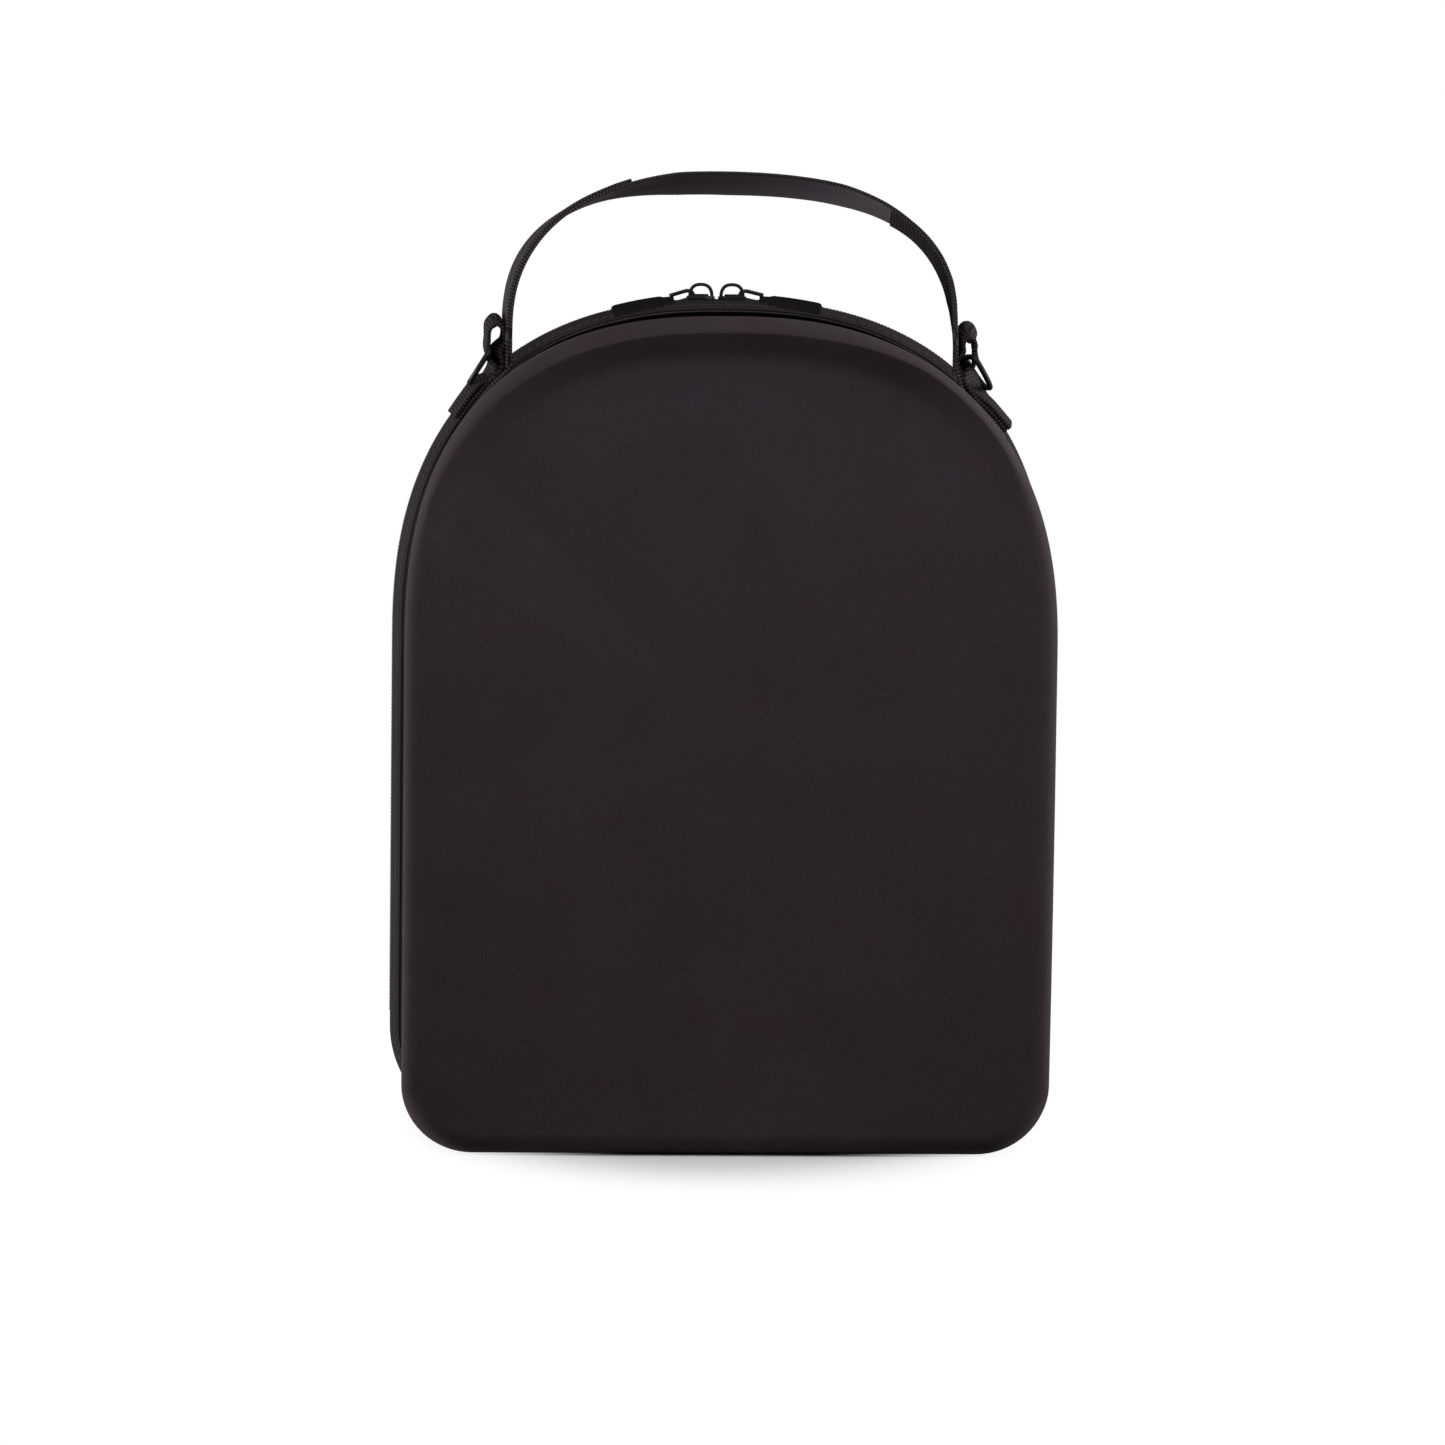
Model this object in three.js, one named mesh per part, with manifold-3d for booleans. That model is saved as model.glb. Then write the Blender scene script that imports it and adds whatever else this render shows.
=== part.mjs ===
// Cap carrier: a moulded hard case in two shells that meet at a zipped rim, with a webbing
// carry strap and a metal ring on a webbing loop at each shoulder.
// Millimetres, +Z up. The plain back panel faces -Y, the zip lies in the plane Y = 0,
// and the case stands on Z = 0 with its middle at X = 0.
import * as THREE from 'three';
import { mergeVertices } from 'three/addons/utils/BufferGeometryUtils.js';
import Module from 'manifold-3d';

const wasm = await Module();
wasm.setup();

// Case: outer size at the rim, and the superellipse that shapes its arched top
const CASE_HEIGHT = 300;
const CASE_HALF_WIDTH = 119;
const CASE_HALF_DEPTH = 78;
const SPRING_HEIGHT = 178;
const RIM_POWER = 2.39;
const WALL_POWER = 2.43;
const WALL = 4;
const GAP = 0.3;

// Rim: the shells stop short of the zip plane, and the zip fills the slot between them
const SLOT_HALF = 3.1;
const FLANGE_DEPTH = 9.2;
const FLANGE_SLOPE = 1;
const FLANGE_INSET = 1.6;
const FLANGE_CORNER = 38;
const WALL_INSET = 4.2;
const WALL_INSET_FAR = 5.3;
const WALL_CORNER = 30;
const ZIP_END_HEIGHT = 42;
const TAPE_THICKNESS = 1;
const COIL_THICKNESS = 2.3;
const HINGE_THICKNESS = 2;

// Back panel: a shallow recess inside the raised border, deeper under the arch than at the foot
const RECESS_HEAD = 3.2;
const RECESS_FOOT = 0.8;

// Front shell: a plain tray with a wide rounded edge and a slightly domed face
const FRONT_EDGE_RADIUS = 26;
const FRONT_DOME = 2;
const FRONT_DOME_ROWS = [
  { inset: 54, below: 0.6 },
  { inset: 84, below: 0 },
];
const SMALLEST_CORNER = 4;

// Webbing strap: an arch over the case that leans from its feet towards the zip
const STRAP_WIDTH = 25;
const STRAP_THICKNESS = 1.4;
const STRAP_Y = -28;
const STRAP_SHIFT = 1.2;
const STRAP_HALF_SPAN = 79.3;
const STRAP_FOOT_HEIGHT = 285;
const STRAP_RISE = 57.2;
const STRAP_POWER = 2.5;
const STRAP_LEAN = 18;
const STRAP_LEG_END = 277;
const STACK_START = 83.5;
const STACK_END = 97;
const LEFT_DOUBLE_END = -35;
const RIGHT_DOUBLE_END = 58;
const DOUBLE_LEG_END = { left: 280, right: 274.5 };

// Tilt of the webbing's width about X, in degrees, along the span from left to right
const STRAP_TILT = [
  { span: -1, tilt: 0 },
  { span: -0.6, tilt: 2 },
  { span: -0.1, tilt: 15 },
  { span: 1, tilt: 16 },
];

// Ring loops: folded webbing between strap leg and stack, and the ring that hangs in it
const LOOP_WIDTH = 20;
const LOOP_THICKNESS = 1.2;
const LOOP_HALF = 2.8;
const LOOP_CENTRE = { left: 84.2, right: 84.9 };
const LOOP_STEPS = 40;
const TAIL_START = { outer: 2.1, inner: 1.1 };
const TAIL_MIDDLE = 91.5;
const RING_WIRE_RADIUS = 1.2;
const RING_HALF_WIDTH = 13.2;
const RING_DEPTH = 12.8;
const RING_CORNER = 9;
const RING_BAR_CORNER = 2;
const RING_BAR_HEIGHT = 280.5;
const RING_BAR_OUT = 0.7;
const RING_REST_ANGLE = 58;
const RING_STEPS = 44;

// Loop walls: distance out from the loop's middle, in half widths, and height
const LOOP_WALLS = [
  { out: 1.18, height: 272.5 },
  { out: 1, height: 279 },
  { out: 1, height: 286 },
  { out: 0.75, height: 291.2 },
  { out: 0, height: 293.4 },
  { out: -0.75, height: 291.2 },
  { out: -1, height: 286 },
  { out: -1, height: 279 },
  { out: -0.68, height: 275 },
];

// Zip sliders: X of each slider, and the outer way that its pull lies
const SLIDERS = [
  { name: 'left', x: -8.9, way: -1 },
  { name: 'right', x: 2.3, way: 1 },
];
const SLIDER_LENGTH = 10;
const SLIDER_WIDTH = 9;
const SLIDER_NECK = 6;
const SLIDER_SHOULDER = 2;
const SLIDER_PLATE = 1.2;
const BRIDGE_LENGTH = 8.2;
const BRIDGE_HEIGHT = 5.4;
const BRIDGE_WIRE = 1.1;
const BRIDGE_WIDTH = 2.6;
const BRIDGE_SUNK = 0.4;
const LINK_WIRE_RADIUS = 0.55;
const LINK_HALF_WIDTH = 2.7;
const LINK_LENGTH = 8.8;
const LINK_LIFT = 4.1;
const LINK_TURN_STEPS = 10;
const PULL_START = 9.8;
const PULL_LENGTH = 22.5;
const PULL_HALF_WIDTH = 4.2;
const PULL_THICKNESS = 1.9;
const PULL_STEPS = 12;

// Pull widths: share of the half width along the pull, from the link to the free end
const PULL_WIDTHS = [
  { along: 0, share: 0.7 },
  { along: 0.2, share: 1 },
  { along: 0.85, share: 1 },
  { along: 0.93, share: 0.85 },
  { along: 1, share: 0.3 },
];

// Fineness of the outlines
const BASE_STEPS = 3;
const CORNER_STEPS = 7;
const SIDE_STEPS = 3;
const ARCH_STEPS = 18;
const EDGE_STEPS = 6;
const STRAP_STEPS = 36;
const FOOT_STEPS = 5;
const WIRE_SIDES = 8;
const PLATE_CURVE_STEPS = 5;
const BRIDGE_CURVE_STEPS = 12;
const SAME_POINT = 1e-4;

const shellMaterial = { color: 0x2a2428, roughness: 0.8, metalness: 0 };
const tapeMaterial = { color: 0x221e20, roughness: 0.75, metalness: 0 };
const coilMaterial = { color: 0x1a1819, roughness: 0.45, metalness: 0 };
const webbingMaterial = { color: 0x1c191b, roughness: 0.8, metalness: 0 };
const metalMaterial = { color: 0x17161a, roughness: 0.3, metalness: 0.9 };
const rubberMaterial = { color: 0x1b1819, roughness: 0.55, metalness: 0 };

const carrier = new THREE.Group();

function addPiece(name, geometry, material) {
  const mesh = new THREE.Mesh(geometry, new THREE.MeshStandardMaterial(material));
  mesh.name = name;
  carrier.add(mesh);
}

// Closed body through rings of points. The two end rings are closed by fans, unless the
// rings themselves form a loop.
function loft(rings, { loop = false } = {}) {
  const count = rings[0].length;
  const points = rings.flat();
  const triangles = [];
  const spans = loop ? rings.length : rings.length - 1;
  for (let i = 0; i < spans; i += 1) {
    const near = i * count;
    const far = ((i + 1) % rings.length) * count;
    for (let j = 0; j < count; j += 1) {
      const next = (j + 1) % count;
      triangles.push(near + j, near + next, far + next);
      triangles.push(near + j, far + next, far + j);
    }
  }
  if (!loop) {
    const last = (rings.length - 1) * count;
    const startCentre = points.push(middle(rings[0])) - 1;
    const endCentre = points.push(middle(rings[rings.length - 1])) - 1;
    for (let j = 0; j < count; j += 1) {
      const next = (j + 1) % count;
      triangles.push(startCentre, next, j);
      triangles.push(endCentre, last + j, last + next);
    }
  }
  return facingOut(points, triangles);
}

function middle(ring) {
  const box = new THREE.Box3().setFromPoints(ring);
  return box.getCenter(new THREE.Vector3());
}

function facingOut(points, triangles) {
  let volume = 0;
  for (let i = 0; i < triangles.length; i += 3) {
    const [a, b, c] = [points[triangles[i]], points[triangles[i + 1]], points[triangles[i + 2]]];
    volume += a.dot(b.clone().cross(c));
  }
  const index = volume < 0 ? triangles.slice().reverse() : triangles;
  const geometry = new THREE.BufferGeometry().setFromPoints(points);
  geometry.setIndex(index);
  geometry.computeVertexNormals();
  return geometry;
}

function toSolid(geometry) {
  const bare = geometry.clone();
  bare.deleteAttribute('normal');
  bare.deleteAttribute('uv');
  const merged = mergeVertices(bare, SAME_POINT);
  const vertProperties = new Float32Array(merged.attributes.position.array);
  const triVerts = new Uint32Array(merged.index.array);
  return new wasm.Manifold(new wasm.Mesh({ numProp: 3, vertProperties, triVerts }));
}

function join(...geometries) {
  const whole = geometries.map(toSolid).reduce((sum, solid) => sum.add(solid));
  const mesh = whole.getMesh();
  const geometry = new THREE.BufferGeometry();
  geometry.setAttribute('position', new THREE.BufferAttribute(mesh.vertProperties, 3));
  geometry.setIndex(new THREE.BufferAttribute(mesh.triVerts, 1));
  geometry.computeVertexNormals();
  return geometry;
}

// Superellipse arch over the case: turn 0 is the right spring point and 1 the left one
function archPoint(turn, halfWidth, top, power) {
  const across = Math.cos(Math.PI * turn);
  const up = Math.sin(Math.PI * turn);
  const x = Math.sign(across) * Math.abs(across) ** (2 / power) * halfWidth;
  const z = SPRING_HEIGHT + (top - SPRING_HEIGHT) * Math.abs(up) ** (2 / power);
  return new THREE.Vector2(x, z);
}

// Point over the arch at x, raised square to it
function overArch(x, rise, inset, power) {
  const halfWidth = CASE_HALF_WIDTH - inset;
  const archRise = CASE_HEIGHT - inset - SPRING_HEIGHT;
  const share = (Math.abs(x) / halfWidth) ** power;
  const z = SPRING_HEIGHT + archRise * (1 - share) ** (1 / power);
  const fall = (Math.abs(x) / halfWidth) ** (power - 1) * (1 - share) ** (1 / power - 1);
  const normal = new THREE.Vector2((Math.sign(x) * fall * archRise) / halfWidth, 1).normalize();
  return new THREE.Vector2(x, z).addScaledVector(normal, rise);
}

// Right half of the case's outline from the bottom middle up to, but not at, the top
function halfOutline({ inset, lift, corner, power }) {
  const halfWidth = CASE_HALF_WIDTH - inset;
  const cornerX = halfWidth - corner;
  const cornerZ = lift + corner;
  const points = [];
  for (let i = 0; i < BASE_STEPS; i += 1) {
    points.push(new THREE.Vector2((cornerX * i) / BASE_STEPS, lift));
  }
  for (let i = 0; i < CORNER_STEPS; i += 1) {
    const angle = (Math.PI / 2) * (i / CORNER_STEPS - 1);
    points.push(new THREE.Vector2(cornerX + corner * Math.cos(angle), cornerZ + corner * Math.sin(angle)));
  }
  for (let i = 0; i < SIDE_STEPS; i += 1) {
    const z = THREE.MathUtils.lerp(cornerZ, SPRING_HEIGHT, i / SIDE_STEPS);
    points.push(new THREE.Vector2(halfWidth, z));
  }
  for (let i = 0; i < ARCH_STEPS; i += 1) {
    points.push(archPoint(i / ARCH_STEPS / 2, halfWidth, CASE_HEIGHT - inset, power));
  }
  return points;
}

function caseOutline(row) {
  const right = halfOutline(row);
  const top = new THREE.Vector2(0, CASE_HEIGHT - row.inset);
  const left = right.slice(1).reverse().map((p) => new THREE.Vector2(-p.x, p.y));
  return [...right, top, ...left];
}

function recessAt(z) {
  return THREE.MathUtils.lerp(RECESS_FOOT, RECESS_HEAD, z / CASE_HEIGHT);
}

// Shell rows run from the rim to the face. depth is measured from the zip plane, inset from
// the rim's outline, lift is the bottom edge's height, and recess the share of the panel's recess.
const rimRows = [
  { depth: SLOT_HALF, inset: FLANGE_INSET, lift: 0, corner: FLANGE_CORNER, power: RIM_POWER },
  { depth: FLANGE_DEPTH, inset: FLANGE_INSET, lift: 0, corner: FLANGE_CORNER, power: RIM_POWER },
  { depth: FLANGE_DEPTH + FLANGE_SLOPE, inset: WALL_INSET, lift: 0, corner: WALL_CORNER, power: WALL_POWER },
];

const backFaceRows = [
  { depth: 68, inset: 5.3, lift: 0, recess: 0 },
  { depth: 72, inset: 6.2, lift: 0.8, recess: 0 },
  { depth: 75.2, inset: 8.2, lift: 2.6, recess: 0 },
  { depth: 77.2, inset: 10.6, lift: 4.8, recess: 0 },
  { depth: 78, inset: 12.4, lift: 6.6, recess: 0 },
  { depth: 78, inset: 13.4, lift: 7.6, recess: 0.2 },
  { depth: 78, inset: 16, lift: 10.2, recess: 0.66 },
  { depth: 78, inset: 20, lift: 14.2, recess: 0.93 },
  { depth: 78, inset: 27, lift: 21.2, recess: 1 },
];

// A wall row keeps its corner's centre, so its corner shrinks as the row draws in
function wallRow({ depth, inset, lift, recess = 0 }) {
  const corner = WALL_CORNER - Math.max(lift, inset - WALL_INSET_FAR);
  return { depth, inset, lift, corner, recess, power: WALL_POWER };
}

function frontFaceRows() {
  const rows = [];
  const edgeStart = CASE_HALF_DEPTH - FRONT_DOME - FRONT_EDGE_RADIUS;
  for (let i = 0; i <= EDGE_STEPS; i += 1) {
    const angle = (Math.PI / 2) * (i / EDGE_STEPS);
    const drawIn = FRONT_EDGE_RADIUS * (1 - Math.cos(angle));
    rows.push({
      depth: edgeStart + FRONT_EDGE_RADIUS * Math.sin(angle),
      inset: WALL_INSET_FAR + drawIn,
      lift: drawIn,
    });
  }
  for (const { inset, below } of FRONT_DOME_ROWS) {
    rows.push({ depth: CASE_HALF_DEPTH - below, inset, lift: inset });
  }
  return rows;
}

// The inside of a shell is its outside drawn in by the wall
function insideRow(row) {
  return { ...row, depth: row.depth - WALL, inset: row.inset + WALL, lift: row.lift + WALL };
}

function shell(side, outerRows, innerRows) {
  const rimInside = {
    depth: SLOT_HALF,
    inset: WALL_INSET + WALL,
    lift: WALL,
    corner: WALL_CORNER - WALL,
    power: WALL_POWER,
  };
  const rows = [...outerRows.slice().reverse(), rimInside, ...innerRows];
  const rings = rows.map((row) => caseOutline(row).map((p) => {
    const depth = row.depth - (row.recess ?? 0) * recessAt(p.y);
    return new THREE.Vector3(p.x, side * depth, p.y);
  }));
  return loft(rings);
}

function backShell() {
  const faceRows = backFaceRows.map(wallRow);
  const wallEnd = faceRows[0];
  const edge = faceRows[2];
  const border = { ...faceRows[6], recess: 1 };
  const inner = [wallEnd, edge, border].map(insideRow).map((row) => (
    { ...row, corner: Math.max(row.corner - WALL, SMALLEST_CORNER) }
  ));
  inner[0] = { ...inner[0], depth: wallEnd.depth };
  return shell(-1, [...rimRows, ...faceRows], inner);
}

function frontShell() {
  const faceRows = frontFaceRows().map((row) => {
    const corner = Math.max(WALL_CORNER - row.lift, SMALLEST_CORNER);
    return { ...row, corner, power: WALL_POWER };
  });
  const inner = faceRows.slice(0, EDGE_STEPS + 1).map((row, i) => {
    const angle = (Math.PI / 2) * (i / EDGE_STEPS);
    const drawIn = (FRONT_EDGE_RADIUS - WALL) * (1 - Math.cos(angle));
    return {
      depth: row.depth - WALL * Math.sin(angle),
      inset: WALL_INSET_FAR + WALL + drawIn,
      lift: WALL + drawIn,
      corner: Math.max(WALL_CORNER - WALL - drawIn, SMALLEST_CORNER),
      power: WALL_POWER,
    };
  });
  return shell(1, [...rimRows, ...faceRows], inner);
}

// Path along the rim from the right zip end over the top to the left zip end
function rimPath(inset) {
  const halfWidth = CASE_HALF_WIDTH - inset;
  const points = [];
  for (let i = 0; i < SIDE_STEPS; i += 1) {
    const z = THREE.MathUtils.lerp(ZIP_END_HEIGHT, SPRING_HEIGHT, i / SIDE_STEPS);
    points.push(new THREE.Vector2(halfWidth, z));
  }
  for (let i = 0; i < 2 * ARCH_STEPS + 1; i += 1) {
    points.push(archPoint(i / ARCH_STEPS / 2, halfWidth, CASE_HEIGHT - inset, RIM_POWER));
  }
  const rightSide = points.slice(0, SIDE_STEPS);
  return [...points, ...rightSide.reverse().map((p) => new THREE.Vector2(-p.x, p.y))];
}

// Strip between two paths of equal length, from yLow to yHigh
function strip(outerPath, innerPath, yLow, yHigh) {
  return loft(outerPath.map((outer, i) => {
    const inner = innerPath[i];
    return [
      new THREE.Vector3(outer.x, yLow, outer.y),
      new THREE.Vector3(outer.x, yHigh, outer.y),
      new THREE.Vector3(inner.x, yHigh, inner.y),
      new THREE.Vector3(inner.x, yLow, inner.y),
    ];
  }));
}

// The hinge strip carries on from the zip's ends, round the corners and along the bottom
function hingePath(thickness) {
  const row = {
    inset: FLANGE_INSET + thickness,
    lift: thickness,
    corner: FLANGE_CORNER - thickness,
    power: RIM_POWER,
  };
  const right = halfOutline(row).slice(0, BASE_STEPS + CORNER_STEPS + 1);
  right.push(new THREE.Vector2(CASE_HALF_WIDTH - row.inset, ZIP_END_HEIGHT - GAP));
  const left = right.slice(1).reverse().map((p) => new THREE.Vector2(-p.x, p.y));
  return [...left, ...right];
}

// Webbing band swept through stations, each with a point, a tilt of its width and an offset
// square to its face
function band(stations, width, thickness, offset = 0) {
  const points = stations.map((s) => s.point);
  const rings = stations.map((station, i) => {
    const before = points[Math.max(i - 1, 0)];
    const after = points[Math.min(i + 1, points.length - 1)];
    const along = after.clone().sub(before).normalize();
    const tilt = THREE.MathUtils.degToRad(station.tilt);
    const across = new THREE.Vector3(0, Math.cos(tilt), -Math.sin(tilt));
    across.addScaledVector(along, -across.dot(along)).normalize();
    const outward = along.clone().cross(across);
    const corner = (side, level) => station.point.clone()
      .addScaledVector(across, (side * width) / 2)
      .addScaledVector(outward, offset + (level * thickness) / 2);
    return [corner(-1, -1), corner(1, -1), corner(1, 1), corner(-1, 1)];
  });
  return loft(rings);
}

// Value of one column where another has the given key, with smooth steps between the rows
function readTable(rows, keyColumn, valueColumn, key) {
  const next = rows.findIndex((row) => row[keyColumn] >= key);
  if (next === 0) {
    return rows[0][valueColumn];
  }
  if (next < 0) {
    return rows[rows.length - 1][valueColumn];
  }
  const low = rows[next - 1];
  const high = rows[next];
  const share = THREE.MathUtils.smoothstep(key, low[keyColumn], high[keyColumn]);
  return THREE.MathUtils.lerp(low[valueColumn], high[valueColumn], share);
}

function wallOver(x, rise) {
  return overArch(x, rise, WALL_INSET, WALL_POWER);
}

// Strap stations from the left foot to the right one
function strapArch() {
  const stations = [];
  for (let i = 0; i <= STRAP_STEPS; i += 1) {
    const turn = Math.PI * (1 - i / STRAP_STEPS);
    const across = Math.cos(turn);
    const span = Math.sign(across) * Math.abs(across) ** (2 / STRAP_POWER);
    const up = Math.abs(Math.sin(turn)) ** (2 / STRAP_POWER);
    const x = STRAP_SHIFT + STRAP_HALF_SPAN * span;
    const point = new THREE.Vector3(x, STRAP_Y + STRAP_LEAN * up, STRAP_FOOT_HEIGHT + STRAP_RISE * up);
    stations.push({ point, tilt: readTable(STRAP_TILT, 'span', 'tilt', span) });
  }
  return stations;
}

// One strap foot: down the leg, then out along the wall to the end of the sewn stack
function strapFoot(sign) {
  const legX = STRAP_SHIFT + sign * STRAP_HALF_SPAN;
  const stations = [];
  const legPoint = (z) => new THREE.Vector3(legX, STRAP_Y, z);
  stations.push({ point: legPoint((STRAP_FOOT_HEIGHT + STRAP_LEG_END) / 2), tilt: 0 });
  stations.push({ point: legPoint(STRAP_LEG_END), tilt: 0 });
  for (let i = 0; i <= FOOT_STEPS; i += 1) {
    const x = THREE.MathUtils.lerp(STACK_START, STACK_END, i / FOOT_STEPS);
    const p = wallOver(sign * x, GAP + STRAP_THICKNESS / 2);
    stations.push({ point: new THREE.Vector3(p.x, STRAP_Y, p.y), tilt: 0 });
  }
  return stations;
}

function strap() {
  const left = strapFoot(-1).reverse();
  const right = strapFoot(1);
  return band([...left, ...strapArch(), ...right], STRAP_WIDTH, STRAP_THICKNESS);
}

// Second layer on one leg: outside the strap on the left, inside it on the right
function strapDouble(side) {
  const arch = strapArch();
  const sign = side === 'left' ? -1 : 1;
  const legX = STRAP_SHIFT + sign * STRAP_HALF_SPAN;
  const foot = { point: new THREE.Vector3(legX, STRAP_Y, DOUBLE_LEG_END[side]), tilt: 0 };
  const layer = STRAP_THICKNESS + GAP;
  if (side === 'left') {
    const stations = [foot, ...arch.filter((s) => s.point.x <= LEFT_DOUBLE_END)];
    return band(stations, STRAP_WIDTH, STRAP_THICKNESS, layer);
  }
  const stations = [...arch.filter((s) => s.point.x >= RIGHT_DOUBLE_END), foot];
  return band(stations, STRAP_WIDTH, STRAP_THICKNESS, -layer);
}

// Webbing loop: out along the stack, up round the ring's bar, and back under itself
function ringLoop(side) {
  const sign = side === 'left' ? -1 : 1;
  const centre = LOOP_CENTRE[side];
  const innerRise = GAP + STRAP_THICKNESS + GAP + LOOP_THICKNESS / 2;
  const outerRise = innerRise + LOOP_THICKNESS + GAP;
  const route = [
    wallOver(STACK_END, outerRise),
    wallOver(TAIL_MIDDLE, outerRise),
    wallOver(centre + TAIL_START.outer, outerRise),
    ...LOOP_WALLS.map(({ out, height }) => new THREE.Vector2(centre + LOOP_HALF * out, height)),
    wallOver(centre + TAIL_START.inner, innerRise),
    wallOver(TAIL_MIDDLE, innerRise),
    wallOver(STACK_END, innerRise),
  ];
  const points = route.map((p) => new THREE.Vector3(sign * p.x, STRAP_Y, p.y));
  const path = new THREE.CatmullRomCurve3(points, false, 'centripetal');
  const stations = path.getSpacedPoints(LOOP_STEPS).map((point) => ({ point, tilt: 0 }));
  return band(stations, LOOP_WIDTH, LOOP_THICKNESS);
}

// D-ring: a straight bar in the loop and a rounded bow that lies on the stack
function dRing(side) {
  const sign = side === 'left' ? -1 : 1;
  const straight = RING_HALF_WIDTH - RING_CORNER;
  const barStraight = RING_HALF_WIDTH - RING_BAR_CORNER;
  const bowStart = RING_DEPTH - RING_CORNER;
  const outline = new THREE.Shape();
  outline.moveTo(-barStraight, 0);
  outline.lineTo(barStraight, 0);
  outline.absarc(barStraight, RING_BAR_CORNER, RING_BAR_CORNER, -Math.PI / 2, 0);
  outline.lineTo(RING_HALF_WIDTH, bowStart);
  outline.absarc(straight, bowStart, RING_CORNER, 0, Math.PI / 2);
  outline.lineTo(-straight, RING_DEPTH);
  outline.absarc(-straight, bowStart, RING_CORNER, Math.PI / 2, Math.PI);
  outline.lineTo(-RING_HALF_WIDTH, RING_BAR_CORNER);
  outline.absarc(-barStraight, RING_BAR_CORNER, RING_BAR_CORNER, Math.PI, Math.PI * 1.5);
  const angle = THREE.MathUtils.degToRad(RING_REST_ANGLE);
  const reach = new THREE.Vector3(sign * Math.cos(angle), 0, -Math.sin(angle));
  const bar = new THREE.Vector3(sign * (LOOP_CENTRE[side] + RING_BAR_OUT), STRAP_Y, RING_BAR_HEIGHT);
  const flat = outline.getSpacedPoints(RING_STEPS).slice(0, RING_STEPS);
  const points = flat.map((p) => (
    bar.clone().addScaledVector(reach, p.y).add(new THREE.Vector3(0, p.x, 0))
  ));
  return wireLoop(points, RING_WIRE_RADIUS, WIRE_SIDES);
}

// Closed round wire through the points of a flat loop
function wireLoop(points, radius, sides) {
  const centre = middle(points);
  const normal = points[0].clone().sub(centre).cross(points[1].clone().sub(centre)).normalize();
  const rings = points.map((point, i) => {
    const before = points[(i + points.length - 1) % points.length];
    const after = points[(i + 1) % points.length];
    const along = after.clone().sub(before).normalize();
    const aside = along.clone().cross(normal);
    return circle(point, aside, normal, radius, sides);
  });
  return loft(rings, { loop: true });
}

function circle(point, aside, up, radius, sides) {
  const ring = [];
  for (let i = 0; i < sides; i += 1) {
    const angle = (2 * Math.PI * i) / sides;
    ring.push(point.clone()
      .addScaledVector(aside, radius * Math.cos(angle))
      .addScaledVector(up, radius * Math.sin(angle)));
  }
  return ring;
}

// Slider: a tapered plate over the coil with an arched bridge on top
function slider({ x, way }) {
  const plateOutline = new THREE.Shape();
  const half = SLIDER_LENGTH / 2;
  plateOutline.moveTo(-half, -SLIDER_NECK / 2);
  plateOutline.lineTo(SLIDER_SHOULDER, -SLIDER_WIDTH / 2);
  plateOutline.quadraticCurveTo(half, -SLIDER_WIDTH / 2, half, 0);
  plateOutline.quadraticCurveTo(half, SLIDER_WIDTH / 2, SLIDER_SHOULDER, SLIDER_WIDTH / 2);
  plateOutline.lineTo(-half, SLIDER_NECK / 2);
  const plate = new THREE.ExtrudeGeometry(plateOutline, {
    depth: SLIDER_PLATE, bevelEnabled: false, curveSegments: PLATE_CURVE_STEPS,
  });
  if (way > 0) {
    plate.rotateZ(Math.PI);
  }
  plate.translate(x, 0, CASE_HEIGHT + GAP);
  const archOutline = new THREE.Shape();
  const outerHalf = BRIDGE_LENGTH / 2;
  const innerHalf = outerHalf - BRIDGE_WIRE;
  archOutline.absellipse(0, 0, outerHalf, BRIDGE_HEIGHT, 0, Math.PI, false, 0);
  archOutline.lineTo(-innerHalf, 0);
  archOutline.absellipse(0, 0, innerHalf, BRIDGE_HEIGHT - BRIDGE_WIRE, Math.PI, 0, true, 0);
  const bridge = new THREE.ExtrudeGeometry(archOutline, {
    depth: BRIDGE_WIDTH, bevelEnabled: false, curveSegments: BRIDGE_CURVE_STEPS,
  });
  bridge.rotateX(Math.PI / 2);
  bridge.translate(x, BRIDGE_WIDTH / 2, CASE_HEIGHT + GAP + SLIDER_PLATE - BRIDGE_SUNK);
  return join(plate, bridge);
}

// Pull: a flat strap of rubber bent along the rim, narrow at the link and round at its free end
function pull({ x, way }) {
  const rings = [];
  for (let i = 0; i <= PULL_STEPS; i += 1) {
    const along = i / PULL_STEPS;
    const at = x + way * (PULL_START + PULL_LENGTH * along);
    const low = overArch(at, GAP, 0, RIM_POWER);
    const high = overArch(at, GAP + PULL_THICKNESS, 0, RIM_POWER);
    const half = PULL_HALF_WIDTH * readTable(PULL_WIDTHS, 'along', 'share', along);
    rings.push([
      new THREE.Vector3(low.x, -half, low.y),
      new THREE.Vector3(low.x, half, low.y),
      new THREE.Vector3(high.x, half, high.y),
      new THREE.Vector3(high.x, -half, high.y),
    ]);
  }
  return loft(rings);
}

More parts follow.
